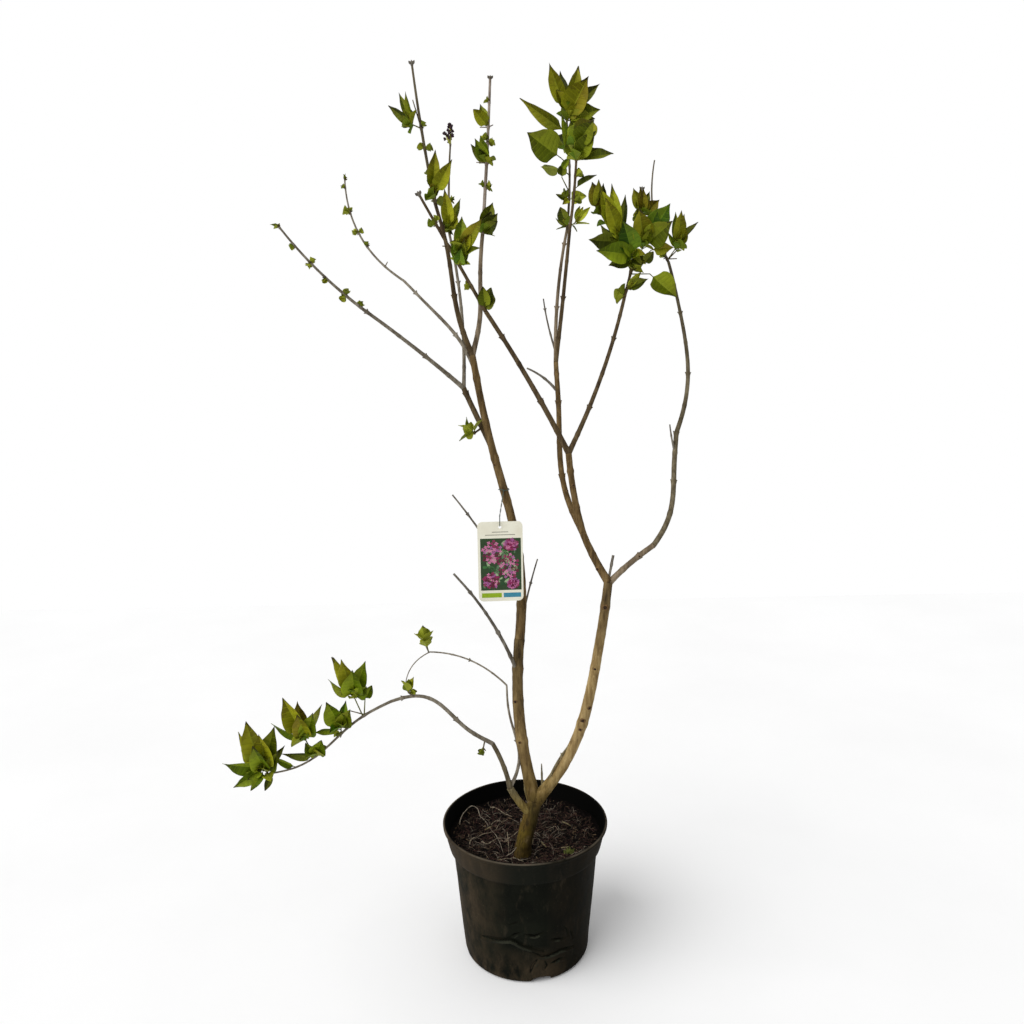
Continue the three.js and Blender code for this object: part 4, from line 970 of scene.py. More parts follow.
def spiral_leaves(batch, root, axis, tints, leans, size, shares, broad, blunt, draw):
    """Small folded leaves in a spiral, each as long as a share of the size."""
    for i, tint in enumerate(tints):
        turn = SPIRAL * i + draw()
        lean = math.radians(mix(*leans, draw()))
        length = size * mix(*shares, draw())
        leaf(batch, root, *leaning(axis, turn, lean), length, broad, tint, draw, SMALL_FOLD, blunt)


def bud_scales(batch, start, axis, draw):
    """The short pointed scales of the opened bud, left round the foot of a sprout."""
    for i in range(3):
        outward = around(shoot_axes(axis), 2 * math.pi * (i + draw()) / 3)
        look = LOOK["dark_scale"] if draw() < 0.5 else LOOK["scale"]
        ovoid(batch, start + outward * 0.8, unit(axis * 0.5 + outward), 1.1, mix(3.5, 6, draw()), look)


def heart_leaves(batch, root, axis, blades, draw):
    """The youngest leaves in the middle of a shoot: folded, upright and bronze."""
    rising = [direction(turn, rise) * length for turn, rise, length, _, _ in blades if rise > 25]
    if len(rising) < 2:
        return
    middle = unit(sum(rising) + axis * HEART_RISE)
    size = sum(np.linalg.norm(v) for v in rising) / len(rising)
    spiral_leaves(batch, root, middle, "hoobh", (4, 14), size, (0.34, 0.56), 0.36, 0.1, draw)


def foot_leaves(batch, start, axis, stalk, count, draw):
    """The small crinkled leaves that stay round the foot of a shoot."""
    for i in range(count):
        turn = 2 * math.pi * (i + 0.7 * draw()) / count
        lean = math.radians(mix(46, 86, draw()))
        root = start + axis * stalk * mix(0.75, 1, draw())
        length, broad = mix(15, 23, draw()), mix(0.5, 0.75, draw())
        leaf(batch, root, *leaning(axis, turn, lean), length, broad, "gymvl"[i % 5], draw, SMALL_FOLD, 0.65)


def between_leaves(batch, start, axis, stalk, blades, tints, draw):
    """Half-grown leaves between the large ones of a full shoot."""
    for first, second, tint in zip(blades, blades[1:], tints):
        a, b = direction(*first[:2]), direction(*second[:2])
        if a.dot(b) < 0.2:
            continue
        along = unit(a + b + direction(draw() * 360, 0) * 0.25)
        up = -around(shoot_axes(along), mix(-0.5, 0.5, draw()))
        length = min(first[2], second[2]) * mix(0.5, 0.75, draw())
        leaf(batch, start + axis * stalk * mix(0.8, 1, draw()), along, up, length, 0.42, tint, draw, 0.6, 0.2)


def fan_leaves(batch, start, axis, stalk, blades, tints, draw):
    heart_leaves(batch, start + axis * stalk, axis, blades, draw)
    if len(blades) > 2 and max(length for _, _, length, _, _ in blades) > SMALL_FAN:
        foot_leaves(batch, start, axis, stalk, len(blades) + 1, draw)
        between_leaves(batch, start, axis, stalk, blades, tints, draw)
    for i, ((turn, rise, length, broad, roll), tint) in enumerate(zip(blades, tints)):
        along = direction(turn, rise)
        up = -around(shoot_axes(along), math.radians(roll))
        root = start + axis * max(0, stalk - i * FAN_SPACING)
        leaf(batch, root, along, up, length, broad, tint, draw, blunt=0.45 if length < SMALL_FAN else 0.0)


def flower_buds(batch, start, axis, stalk, count, draw):
    """A young flower head: a spiral of short stalks, each with a knot of small buds."""
    tube(batch, [start, start + axis * stalk], [1.5, 1.0], 7, LOOK["pale_stalk"])
    for i in range(count):
        share = mix(FLOWER_LOWEST, 1, i / max(1, count - 1))
        outward = around(shoot_axes(axis), math.radians(i * FLOWER_TURN))
        centre = start + axis * stalk * share + outward * (FLOWER_REACH * (1.1 - share * 0.75))
        tube(batch, [start + axis * stalk * (share - 0.1), centre], [0.9, 0.7], 5, LOOK["pale_stalk"])
        for _ in range(FLOWER_KNOT):
            lean = unit(axis + outward * 0.7 + vec(draw() - 0.5, draw() - 0.5, draw() - 0.5) * 2.4)
            ovoid(batch, centre - lean * 0.8, lean, 1.75, 4.6, LOOK["flower"])


def tip_buds(batch, path, size):
    """The pair of fat dark buds that ends a bare leader, on a thickened tip."""
    tip, tangent = path.point(1.0), path.tangent(1.0)
    _, across = cross_axes(tangent, reference_for(tangent))
    ovoid(batch, tip - tangent * 6, tangent, size * 1.15, 9, DARK_BUD, 8)
    for way in (1, -1):
        root = tip - tangent * 2.5 + across * way * size * 0.6
        ovoid(batch, root, unit(tangent * 1.5 + across * way), size, 5.5, DARK_BUD, 8)


def make_spray(name, spray, number):
    (parent, at, tip, bow, (base, top), *sway), shoots = spray
    path = paths[name] = LimbPath(paths[parent].point(at), tip, bow, *sway)
    wood, leaves = Batch(), Batch()
    knots = sorted({round(grown["at"] * path.length, 1) for grown in shoots})
    stem(wood, name, path, lambda share: mix(base, top, share), knots, SPRAY_SIDES, SPRAY_STEP)
    if name in TIP_BUDS:
        tip_buds(wood, path, TIP_BUDS[name])
    for seed, grown in enumerate(shoots, start=1000 * number):
        # The first sets the whorls as the part's source does, and the second is for what is only seen here.
        random, draw = random_from(seed), random_from(70000 + seed)
        start, stalk, axis = path.point(grown["at"]), grown["stalk"], direction(grown["turn"], grown["rise"])
        bare = not {"whorl", "fan", "flowers"} & set(grown)
        if stalk:
            ends = [start, start + axis * stalk * 0.5, start + axis * stalk]
            thick, thin = SHOOT_RADIUS
            radii, look = [thick, (thick + thin) / 2, thin], WOOD if bare else LOOK["stalk"]
            tube(wood if bare else leaves, ends, radii, 7, look)
        place = leaves, start, axis, stalk
        if "whorl" in grown:
            whorl_leaves(*place, grown["whorl"], grown["tints"], grown["slim"], random, draw)
        if "fan" in grown:
            fan_leaves(*place, grown["fan"], grown["tints"], draw)
        if "flowers" in grown:
            flower_buds(*place, grown["flowers"], draw)
    wood.build(name + "_stem", [BARK_OF[name], BARK_LOOKS["dead_bark"]], "bark", [name])
    used = sorted(set(leaves.looks))
    leaves.looks = [used.index(look) for look in leaves.looks]
    leaves.build(name + "_leaves", [LEAF_LOOKS[look] for look in used], "foliage", [name])


for spray_number, (spray_name, spray_sizes) in enumerate(SPRAYS.items(), start=1):
    make_spray(spray_name, spray_sizes, spray_number)

# ---------- Pot ----------

POT_HEIGHT, RIM_RADIUS, COLLAR_RADIUS, COLLAR_HEIGHT = 232, 140, 129, 191
BODY_RADIUS, BASE_RADIUS, BASE_ROUND, WALL, LIP = 123, 107, 8, 2.4, 3.2
COLLAR_FOOT = COLLAR_HEIGHT - 5  # the wall ends here, and a small step leads out to the collar
COLLAR_TOP = POT_HEIGHT - 7.2
RIM_ZONE = POT_HEIGHT - 8  # above this the wall is free of dents
DRAIN_COUNT, DRAIN_WIDTH, DRAIN_HEIGHT, DRAIN_DEPTH, DRAIN_TURN = 4, 34, 10, 22, -78
# The outline of a drain notch, ragged and round at the top, as shares of its width and height.
DRAIN_OUTLINE = (
    (-0.5, -0.6), (-0.5, 0.35), (-0.42, 0.82), (-0.25, 0.97), (0, 1), (0.22, 0.95), (0.4, 0.85), (0.5, 0.3),
    (0.5, -0.6),
)

# Creases pressed into the wall: depth, width, then the turn and height of each place along it.
CREASES = (
    (4.6, 2.6, (-131, 71), (-121, 76), (-112, 79), (-104, 83), (-99, 80), (-92, 72), (-84, 66), (-76, 58)),
    (2.4, 1.8, (-106, 84), (-100, 94), (-94, 98)),
    (2.0, 1.6, (-104, 110), (-97, 117)),
    (2.8, 1.8, (-92, 94), (-84, 91), (-77, 95)),
    (2.6, 1.7, (-70, 79), (-64, 76), (-58, 73)),
    (3.2, 2.2, (-86, 60), (-78, 50), (-71, 50), (-60, 53), (-47, 47)),
    (2.6, 1.8, (-70, 32), (-62, 36), (-57, 34)),
    (3.0, 2.2, (-82, 44), (-86, 34), (-88, 20)),
    (2.0, 1.6, (-76, 42), (-73, 30), (-76, 22)),
    (2.0, 1.6, (-60, 100), (-56, 88), (-54, 74)),
    (2.0, 1.6, (-52, 84), (-48, 64)),
    (1.8, 2.6, (60, 90), (72, 96), (84, 98), (96, 90)),
    (2.0, 3.0, (150, 64), (164, 62), (176, 56)),
    (1.8, 2.8, (10, 40), (20, 48), (28, 52)),
)
MM_PER_DEGREE = 2  # along the wall, about half way up
# How deep a crease's ends are, and the lip below it: its height, how far down it stands and how far it goes.
CREASE_ENDS, LIP_SHARE, LIP_PLACE, LIP_REACH = 0.35, 0.45, 1.9, 3.2
# How deep in a crease, or how high on its lip, a spot has a look of its own: painted shade in the crease, a
# painted highlight on the lip; and the numbers of the looks.
DEEP_SHADE_FROM, FOLD_SHADE_FROM, RIDGE_HIGHLIGHT_FROM = 0.66, 0.36, 0.7
PLASTIC, RIDGE_HIGHLIGHT, FOLD_SHADE, DEEP_SHADE = range(4)
# The colours of the painted highlight on a crease's lip and of the painted shade in its fold and deepest
# line.
CREASE_SHADE_AND_HIGHLIGHT_COLOURS = {"pot_ridge_painted_highlight": (42, 43, 34), "pot_fold_painted_shade": (21, 22, 15), "pot_crease_painted_shade": (9, 9, 6)}
# The wall is divided finely where it is creased: the turns and heights between which it is, and both steps.
FINE_TURNS, FINE_TURN_STEP, TURN_STEP = (-146, -22), 0.5, 1.5
FINE_HEIGHTS, FINE_STEP, HEIGHT_STEP = (16, 124), 1.1, 4


def pot_profile():
    """Outline from the middle of the underside: up the outside, over the rim and down the inside."""
    outside = [(0, 1.2), (BASE_RADIUS - 14, 1.2), (BASE_RADIUS - 11, 0)]
    for turn in np.radians(np.linspace(-90, 0, 6)):
        outside.append((BASE_RADIUS - BASE_ROUND * (1 - math.cos(turn)), BASE_ROUND * (1 + math.sin(turn))))
    fine_start, fine_end = FINE_HEIGHTS
    heights = [*np.arange(BASE_ROUND + 1.5, fine_start, 2), *np.arange(fine_start, fine_end, FINE_STEP)]
    for z in [*heights, *np.arange(fine_end, COLLAR_FOOT, HEIGHT_STEP), COLLAR_FOOT]:
        outside.append((mix(BASE_RADIUS, BODY_RADIUS, (z - BASE_ROUND) / (COLLAR_FOOT - BASE_ROUND)), z))
    outside += [(BODY_RADIUS + 0.8, COLLAR_HEIGHT - 3.4), (COLLAR_RADIUS - 1.2, COLLAR_HEIGHT - 1.4)]
    outside.append((COLLAR_RADIUS, COLLAR_HEIGHT + 0.8))
    for share in np.linspace(0.1, 1, 9):
        outside.append((mix(COLLAR_RADIUS, RIM_RADIUS - LIP, share), mix(COLLAR_HEIGHT, COLLAR_TOP, share)))
    rolled = ((-1.4, -6.2), (-0.2, -4.6), (0, -2), (-0.6, -0.5), (-1.8, 0), (-3.6, -0.5), (-LIP - WALL, -3))
    rim = [(RIM_RADIUS + out, POT_HEIGHT + up) for out, up in rolled]
    inside = [(COLLAR_RADIUS - WALL, COLLAR_HEIGHT + 1), (BODY_RADIUS - WALL, COLLAR_FOOT - 1)]
    inside += [(BASE_RADIUS - WALL, BASE_ROUND), (BASE_RADIUS - BASE_ROUND, WALL + 1.2), (0, WALL + 1.2)]
    return outside, rim, inside


def crease_fields(degrees, z):
    """How far the creases push each spot of the wall in or out, and the number of its look: plain, a painted
    highlight on a lip, or painted shade in a crease.
    """
    push, core, lip = (np.zeros(len(z)) for _ in range(3))
    spots = np.stack((degrees * MM_PER_DEGREE, z), axis=1)
    for depth, width, *places in CREASES:
        places = np.array(places, float) * (MM_PER_DEGREE, 1)
        steps = np.linalg.norm(np.diff(places, axis=0), axis=1)
        run = np.concatenate(([0], np.cumsum(steps))) / steps.sum()
        gap, along, above = np.full(len(z), 1e3), np.zeros(len(z)), np.zeros(len(z))
        for a, b, start, end in zip(places, places[1:], run, run[1:]):
            share = np.clip((spots - a) @ (b - a) / ((b - a) @ (b - a)), 0, 1)
            off = spots - a - share[:, None] * (b - a)
            far = np.hypot(off[:, 0], off[:, 1])
            near = far < gap
            gap[near], along[near], above[near] = far[near], mix(start, end, share[near]), off[near, 1]
        taper = CREASE_ENDS + (1 - CREASE_ENDS) * np.sin(math.pi * np.clip(along, 0.05, 0.95))
        dip = np.exp(-((gap / width) ** 2))
        ridge = np.exp(-(((above + width * LIP_PLACE) / width) ** 2)) * (gap < width * LIP_REACH)
        push -= depth * taper * (dip - LIP_SHARE * ridge)
        core = np.maximum(core, taper * dip * min(1, depth / 3))
        lip = np.maximum(lip, taper * ridge * min(1, depth / 3))
    parts = (core > DEEP_SHADE_FROM, core > FOLD_SHADE_FROM, lip > RIDGE_HIGHLIGHT_FROM)
    return push, np.select(parts, (DEEP_SHADE, FOLD_SHADE, RIDGE_HIGHLIGHT), PLASTIC)


def wall_push(turn, z):
    """How far the pot's wall stands out of true: shallow dents of thin plastic."""
    c, s = math.cos(turn), math.sin(turn)
    return 0.9 * noise_at(c * 1.4, s * 1.4, z * 0.012) + 0.22 * noise_at(c * 7, s * 7, z * 0.05)


def wall_turns():
    start, end = FINE_TURNS
    turns = np.concatenate((np.arange(start, end, FINE_TURN_STEP), np.arange(end, start + 360, TURN_STEP)))
    return np.where(turns > 180, turns - 360, turns)


def make_pot():
    outside, rim, inside = pot_profile()
    outline = outside + rim + inside
    rings, turns = outline[1:-1], wall_turns()
    creases, shades = crease_fields(np.tile(turns, len(rings)), np.repeat([z for _, z in rings], len(turns)))
    points = []
    for number, (radius, z) in enumerate(rings, start=1):
        dented = number < len(outside) and BASE_ROUND < z < RIM_ZONE
        for turn in np.radians(turns):
            spot, push = len(points), 0
            if dented:
                push = (wall_push(turn, z) + creases[spot]) * min(1, (z - BASE_ROUND) / 12)
            else:
                shades[spot] = PLASTIC
                if z >= RIM_ZONE:
                    push = 0.35 * noise_at(math.cos(turn) * 3, math.sin(turn) * 3, 9)
            points.append((math.cos(turn) * (radius + push), math.sin(turn) * (radius + push), z))
    faces = closed_faces(len(rings), len(turns), inward=True)
    points += [(0, 0, outline[0][1]), (0, 0, outline[-1][1])]
    shades = [int(shade) for shade in shades] + [PLASTIC, PLASTIC]
    batch = Batch()
    batch.add(points, faces, [sorted(shades[corner] for corner in face)[len(face) // 2] for face in faces])
    # The looks of the crease marks: a painted highlight on the lips and two depths of painted shade in the
    # creases.
    looks = [
        plain_look(name, colour, darkened(colour, 0.7), 60, (0.6, 0.9), specular=0.03)
        for name, colour in CREASE_SHADE_AND_HIGHLIGHT_COLOURS.items()
    ]
    pot = batch.build("pot_shell", [pot_look(), *looks], "pot", ["pot"])
    for i in range(DRAIN_COUNT):
        cut_notch(pot, DRAIN_TURN + 360 * i / DRAIN_COUNT)


def cut_notch(pot, turn):
    """Cuts one drain notch out of the base edge."""
    corners = [
        ((BASE_RADIUS + way * DRAIN_DEPTH) / 1000, y * DRAIN_WIDTH / 1000, z * DRAIN_HEIGHT / 1000)
        for way in (-1, 1)
        for y, z in DRAIN_OUTLINE
    ]
    mesh = bpy.data.meshes.new("notch")
    mesh.from_pydata(corners, [], prism_faces(len(DRAIN_OUTLINE)))
    mesh.transform(Matrix.Rotation(math.radians(turn), 4, "Z"))
    cutter = add_object("notch", mesh)
    cut = pot.modifiers.new("cut", "BOOLEAN")
    cut.operation, cut.object, cut.solver = "DIFFERENCE", cutter, "EXACT"
    whole = bpy.data.meshes.new_from_object(pot.evaluated_get(bpy.context.evaluated_depsgraph_get()))
    pot.modifiers.remove(cut)
    pot.data = whole
    bpy.data.objects.remove(cutter)


def pot_look():
    """Dull black plastic with a green-grey cast, dried mud on the flanks with painted shade on the right,
    dust, specks, a painted highlight along the rim's top and painted shade on the inner wall.
    """
    look = Surface("pot_plastic", 0.03)
    x, y, z = map(look.axis, "XYZ")
    cloud = look.noise(16, 8, rough=0.7)
    left, right = look.mask(x, -0.015, -0.1), look.mask(x, 0.06, 0.125)
    collar_tone = look.layers((22, 23, 18), ((54, 46, 36), left), ((26, 20, 9), right))
    # Real dried mud, light brown on the left and painted darker brown towards the right as painted shade.
    mud_and_painted_shade_tone = look.blend(look.mask(x, 0.02, 0.08), (66, 55, 41), (26, 20, 9))
    flank, foot = look.mask(look.math("ABSOLUTE", x), 0.03, 0.11), look.mask(z, 0.07, 0.01)
    back = look.times(look.mask(y, 0.02, 0.1), 0.7)
    muddy = look.math("MAXIMUM", look.math("MAXIMUM", flank, foot), back)
    # Painted shade: the inner wall is painted near black. It lies nearer the axis than the outside, whose
    # radius grows with the height.
    slope = (RIM_RADIUS - LIP - COLLAR_RADIUS) / (COLLAR_TOP - COLLAR_HEIGHT)
    outer = look.math("MULTIPLY_ADD", z, slope, (COLLAR_RADIUS - slope * COLLAR_HEIGHT) / 1000)
    radius = look.math("SQRT", look.math("ADD", look.times(x, x), look.times(y, y)))
    inside = look.mask(look.math("SUBTRACT", radius, outer), -0.0008, -0.0018)
    colour = look.layers(
        look.ramp(cloud, (0.3, (8, 9, 6)), (0.7, (23, 25, 18))),
        (collar_tone, look.mask(z, 0.188, 0.193), 0.75),
        ((7, 8, 5), look.mask(x, 0.005, 0.06), look.mask(x, 0.115, 0.085), 0.75),
        # mud on the flanks and foot, with painted shade on the right
        (mud_and_painted_shade_tone, look.noise_mask(0.38, 0.6, 24, 8, (1, 1, 0.5), 0.72), muddy, 0.85),
        (
            (66, 58, 46),
            look.noise_mask(0.56, 0.7, 60, 8, (1, 1, 0.3), 0.75),
            look.math("SUBTRACT", 0.34, look.times(right, 0.24)),
        ),
        ((88, 82, 66), look.noise_mask(0.68, 0.76, 420, 3), 0.4),
        # painted highlight: a thin pale line along the top of the rim, broken up by noise
        ((90, 82, 70), look.mask(z, 0.2298, 0.2312), look.noise_mask(0.3, 0.6, 20, 4), 0.85),
        # painted shade on the inner wall above the collar's foot
        ((2, 2, 1), inside, look.mask(z, 0.186, 0.19)),
    )
    relief = look.math("ADD", look.noise(160, 5), look.noise(900, 2))
    return look.finish(colour, cloud, (0.5, 0.85), relief, 0.25, 0.0005)


make_pot()

# ---------- Soil ----------

SOIL_RINGS, SOIL_TURNS = 96, 220
EDGE_RISE, FLAT_RADIUS, SOIL_RADIUS = 8, 78, 131
SOIL_FLANK = ((122, 188), (112, 90), (96, 6))  # radius and height of the rings from the top to the underside
CHIPS, FIBRES = 2900, 1500
CHIP_FACES = [(0, 1, 2, 3), (7, 6, 5, 4), (0, 4, 5, 1), (1, 5, 6, 2), (2, 6, 7, 3), (3, 7, 4, 0)]
CHIP_COLOURS = {
    "chip_dark": ((18, 11, 10), (8, 5, 5)),
    "chip_purple": ((36, 25, 22), (18, 12, 11)),
    "chip_brown": ((62, 48, 36), (30, 22, 17)),
    "chip_tan": ((112, 94, 72), (70, 54, 40)),
}
FIBRE_COLOURS = {
    "fibre_brown": ((80, 67, 55), (36, 28, 23), (0.7, 0.9)),
    "root_tan": ((158, 146, 124), (116, 104, 86), (0.65, 0.85)),
    "stick_pale": ((132, 122, 92), (92, 80, 56), (0.7, 0.9)),
    "fibre_red": ((92, 64, 58), (46, 28, 27), (0.7, 0.9)),
    "fibre_pale": ((152, 142, 126), (98, 88, 76), (0.7, 0.9)),
}
FIBRE_BROWN, ROOT_TAN, STICK_PALE, FIBRE_RED, FIBRE_PALE = range(5)

# Fine roots that lie on the soil: thickness, then places seen from above, some lifted off it.
ROOTS = (
    (0.8, (-94, -26), (-93, -11), (-81, 1), (-54, 20), (-44, 42), (-30, 55)),
    (
        0.9,
        (-114, 26, 3), (-112, 48, 6), (-99, 74, 8), (-86, 76, 7), (-79, 58, 4), (-70, 51), (-56, 16),
        (-47, -6), (-36, -55),
    ),
    (0.9, (-6, 60), (-8, 31), (-13, 15), (-24, -1), (-36, -14)),
    (0.8, (-75, -13), (-62, -18), (-47, -6), (-36, -16), (-24, -12)),
    (0.9, (-62, 89), (-51, 87), (-37, 76), (-22, 69)),
    (0.7, (-31, 19), (-29, -19), (-28, -53)),
    (0.7, (-42, -70), (-23, -64), (-4, -74)),
    (0.6, (-60, 40), (-50, 52), (-36, 44)),
    (
        1.0,
        (-5.5, -53, 48), (-8.5, -54, 38), (-11, -55, 26), (-14, -56, 15), (-21, -56, 6), (-33, -58),
        (-47, -62),
    ),
    (0.6, (40, 20), (52, 30), (60, 18), (74, 24)),
)
LIFTED = 3  # roots that rise higher than this are pale
STICKS = (
    (1.8, (13, -11), (9, -30)),
    (1.3, (27, -18), (35, -38)),
    (1.0, (59, -37), (73, -35)),
    (1.4, (-70, 20), (-58, 34)),
    (1.2, (66, 44), (80, 30)),
)
MOSS_PLACE, MOSS_SPREAD, MOSS_TIPS = (71, -56), (13, 8), 60


def soil_height(x, y):
    rise = EDGE_RISE * max(0, (math.hypot(x, y) - FLAT_RADIUS) / (SOIL_RADIUS - FLAT_RADIUS))
    lumps = 2.6 * noise_at(x * 0.03, y * 0.03, 1) + 1.6 * noise_at(x * 0.1, y * 0.1, 5)
    return SOIL_LEVEL - 1.2 + rise + lumps + 1.1 * noise_at(x * 0.32, y * 0.32, 9)


def on_soil(x, y, lift):
    return vec(x, y, soil_height(x, y) + lift)


def make_soil():
    # None stands for the height of the soil's top.
    rings = [(SOIL_RADIUS * ring / SOIL_RINGS, None) for ring in range(1, SOIL_RINGS + 1)]
    points = []
    for radius, z in (*rings, *SOIL_FLANK):
        for turn in np.linspace(0, 2 * math.pi, SOIL_TURNS, endpoint=False):
            x, y = radius * math.cos(turn), radius * math.sin(turn)
            points.append((x, y, soil_height(x, y) if z is None else z))
    points += [(0, 0, soil_height(0, 0)), (0, 0, SOIL_FLANK[-1][1])]
    batch = Batch()
    batch.add(points, closed_faces(len(rings) + len(SOIL_FLANK), SOIL_TURNS), 0)
    look = Surface("soil_ground", 0.05)
    grain = look.noise(170, 8, rough=0.7)
    colour = look.ramp(grain, (0.38, (3, 2, 2)), (0.54, (9, 6, 5)), (0.7, (28, 20, 17)))
    relief = look.math("ADD", grain, look.noise(700, 4))
    batch.build("soil_ground", [look.finish(colour, grain, (0.8, 1), relief, 0.9, 0.0015)], "soil", ["soil"])


def scatter(draw, edge):
    radius, turn = (SOIL_RADIUS - edge) * math.sqrt(draw()), draw() * 2 * math.pi
    return radius * math.cos(turn), radius * math.sin(turn)


def make_litter():
    """Chips of bark and crumbs of peat on the soil, each a small bent block."""
    draw = random_from(4100)
    batch = Batch()
    for _ in range(CHIPS):
        x, y = scatter(draw, 8)
        long = mix(1.4, 9, draw() ** 2.6)
        wide, deep = mix(0.6, 2.4, draw()), mix(0.4, 1.2, draw())
        along = direction(draw() * 360, mix(-14, 22, draw()))
        side = unit(np.cross(vec(0, 0, 1), along) + vec(0, 0, (draw() - 0.5) * 0.8))
        up = np.cross(along, side)
        centre = on_soil(x, y, deep * 0.5)
        corners = []
        for a in (-0.5, 0.5):
            pinch = mix(0.3, 1, draw())
            for b, c in ((-0.5, -0.5), (0.5, -0.5), (0.5, 0.5), (-0.5, 0.5)):
                corners.append(centre + along * a * long + side * b * wide * pinch + up * c * deep)
        batch.add(corners, CHIP_FACES, int(draw() ** 2.1 * len(CHIP_COLOURS)))
    looks = [plain_look(name, *tones, 200, (0.7, 0.95), specular=0.1) for name, tones in CHIP_COLOURS.items()]
    batch.build("soil_litter", looks, "soil", smooth=False)


def smooth_line(places, steps):
    """A Catmull-Rom curve through the places."""
    points = [np.array(place, float) for place in places]
    points = [2 * points[0] - points[1]] + points + [2 * points[-1] - points[-2]]
    line = []
    for a, b, c, d in zip(points, points[1:], points[2:], points[3:]):
        for t in np.linspace(0, 1, steps, endpoint=False):
            bend, twist = 2 * a - 5 * b + 4 * c - d, 3 * b - a - 3 * c + d
            line.append(0.5 * (2 * b + (c - a) * t + bend * t**2 + twist * t**3))
    return line + [points[-2]]


def make_fibres():
    """Short curved fibres, then the fine roots and the sticks."""
    draw = random_from(5200)
    batch = Batch()
    for _ in range(FIBRES):
        x, y = scatter(draw, 16)
        turn, bend, long = draw() * 360, mix(-70, 70, draw()), mix(8, 26, draw())
        centres = []
        for share in np.linspace(0, 1, 6):
            centres.append(vec(x, y, soil_height(x, y) + 0.7 + 2.2 * math.sin(math.pi * share) * draw()))
            step = direction(turn + bend * share, 0) * long / 5
            x, y = x + step[0], y + step[1]
            if math.hypot(x, y) > SOIL_RADIUS - 6:
                break
        if len(centres) > 2:
            shade, radius = draw(), mix(0.14, 0.34, draw())
            look = FIBRE_BROWN if shade < 0.5 else FIBRE_RED if shade < 0.86 else FIBRE_PALE
            tube(batch, centres, [radius] * len(centres), 4, look)
    for width, *places in ROOTS:
        curve = smooth_line([(*place, 0)[:3] for place in places], 6)
        centres = [
            vec(x, y, soil_height(x, y) + lift + width * 0.8 + 0.5 * math.sin(i))
            for i, (x, y, lift) in enumerate(curve)
        ]
        look = FIBRE_PALE if max(lift for _, _, lift in curve) > LIFTED else ROOT_TAN
        tube(batch, centres, np.linspace(width, width * 0.6, len(centres)), 7, look)
    for width, start, end in STICKS:
        centres = [on_soil(*mix(vec(*start), vec(*end), share), width) for share in np.linspace(0, 1, 4)]
        tube(batch, centres, [width * 0.8, width, width, width * 0.7], 6, STICK_PALE)
    looks = [
        plain_look(name, colour, other, 160, rough, specular=0.1)
        for name, (colour, other, rough) in FIBRE_COLOURS.items()
    ]
    batch.build("soil_roots", looks, "soil")


def make_moss():
    draw = random_from(6300)
    batch = Batch()
    for _ in range(MOSS_TIPS):
        x, y = (middle + (draw() - 0.5) * spread for middle, spread in zip(MOSS_PLACE, MOSS_SPREAD))
        lean = unit(vec(draw() - 0.5, draw() - 0.5, 1.4))
        ovoid(batch, on_soil(x, y, -0.5), lean, 0.9, mix(4, 11, draw()), 0)
    batch.build("soil_moss", [plain_look("moss", (120, 124, 62), (74, 82, 34), 200, (0.8, 1))], "soil")


make_soil()
make_litter()
make_fibres()
make_moss()

# ---------- Label ----------

TAG_CENTRE, TAG_TURN = vec(-32.5, -19, 686), math.radians(3)
TAG_HEIGHT, TAG_THICKNESS, HOLE_DROP, HOLE_RADIUS = 130, 0.8, 9, 2.5
TIE_STEM, TIE_AT, WIRE_RADIUS, LOOP_RADIUS, HOOK_RADIUS = "left_stem_upper", 0.53, 0.7, 8.6, 8
TWIST_RADIUS, TWIST_TURN, TWIST_STEPS = 0.55, 16, 24
INK_PROUD, LAYER_PROUD = 0.05, 0.03
PICTURE = (-32, -47, 33, 38)  # left, low, right and high edge on the card
PRINTED_LEAVES, CLUSTER_FLOWERS = 64, 34
# Clusters of flowers: the middle, across and up, and the reach both ways.
CLUSTERS = ((-13, 15, 16, 19), (13, -8, 17, 20), (-15, -31, 13, 12), (17, 27, 12, 9), (20, -36, 9, 8))
PETAL = ((0, 0), (0.55, -0.38), (0.95, -0.3), (1.1, 0), (0.95, 0.3), (0.55, 0.38))
INKS = {
    "ground": (48, 70, 42), "leaf": (62, 112, 58), "leaf_dark": (42, 76, 44), "magenta": (150, 40, 92),
    "deep": (104, 24, 58), "pink": (212, 122, 166), "lilac": (176, 96, 156), "green": (146, 176, 32),
    "teal": (62, 136, 160), "rule": (128, 124, 112), "leaf_pale": (150, 176, 132), "leaf_grey": (92, 124, 90),
}
INK = {name: number for number, name in enumerate(INKS)}
LEAF_INKS = ("leaf", "leaf_dark", "leaf_pale", "leaf_grey")
FLOWER_INKS = ("magenta", "deep", "pink", "lilac")


def print_shape(batch, outline, ink, layer):
    """A flat printed patch on the card: its corners run anticlockwise as seen from the front."""
    points = [
        TAG_CENTRE + vec(*turned(x, -TAG_THICKNESS / 2 - proud, TAG_TURN), z)
        for proud in (INK_PROUD + LAYER_PROUD * layer, 0)
        for x, z in outline
    ]
    batch.add(points, prism_faces(len(outline)), INK[ink])


def print_box(batch, left, low, right, high, ink):
    print_shape(batch, [(left, low), (right, low), (right, high), (left, high)], ink, 0)


def print_flower(batch, x, z, size, turn, ink):
    for petal in range(4):
        angle = turn + petal * math.pi / 2
        edge = [turned(along * size, across * size, angle, x, z) for along, across in PETAL]
        print_shape(batch, edge, ink, 2 + petal % 2)


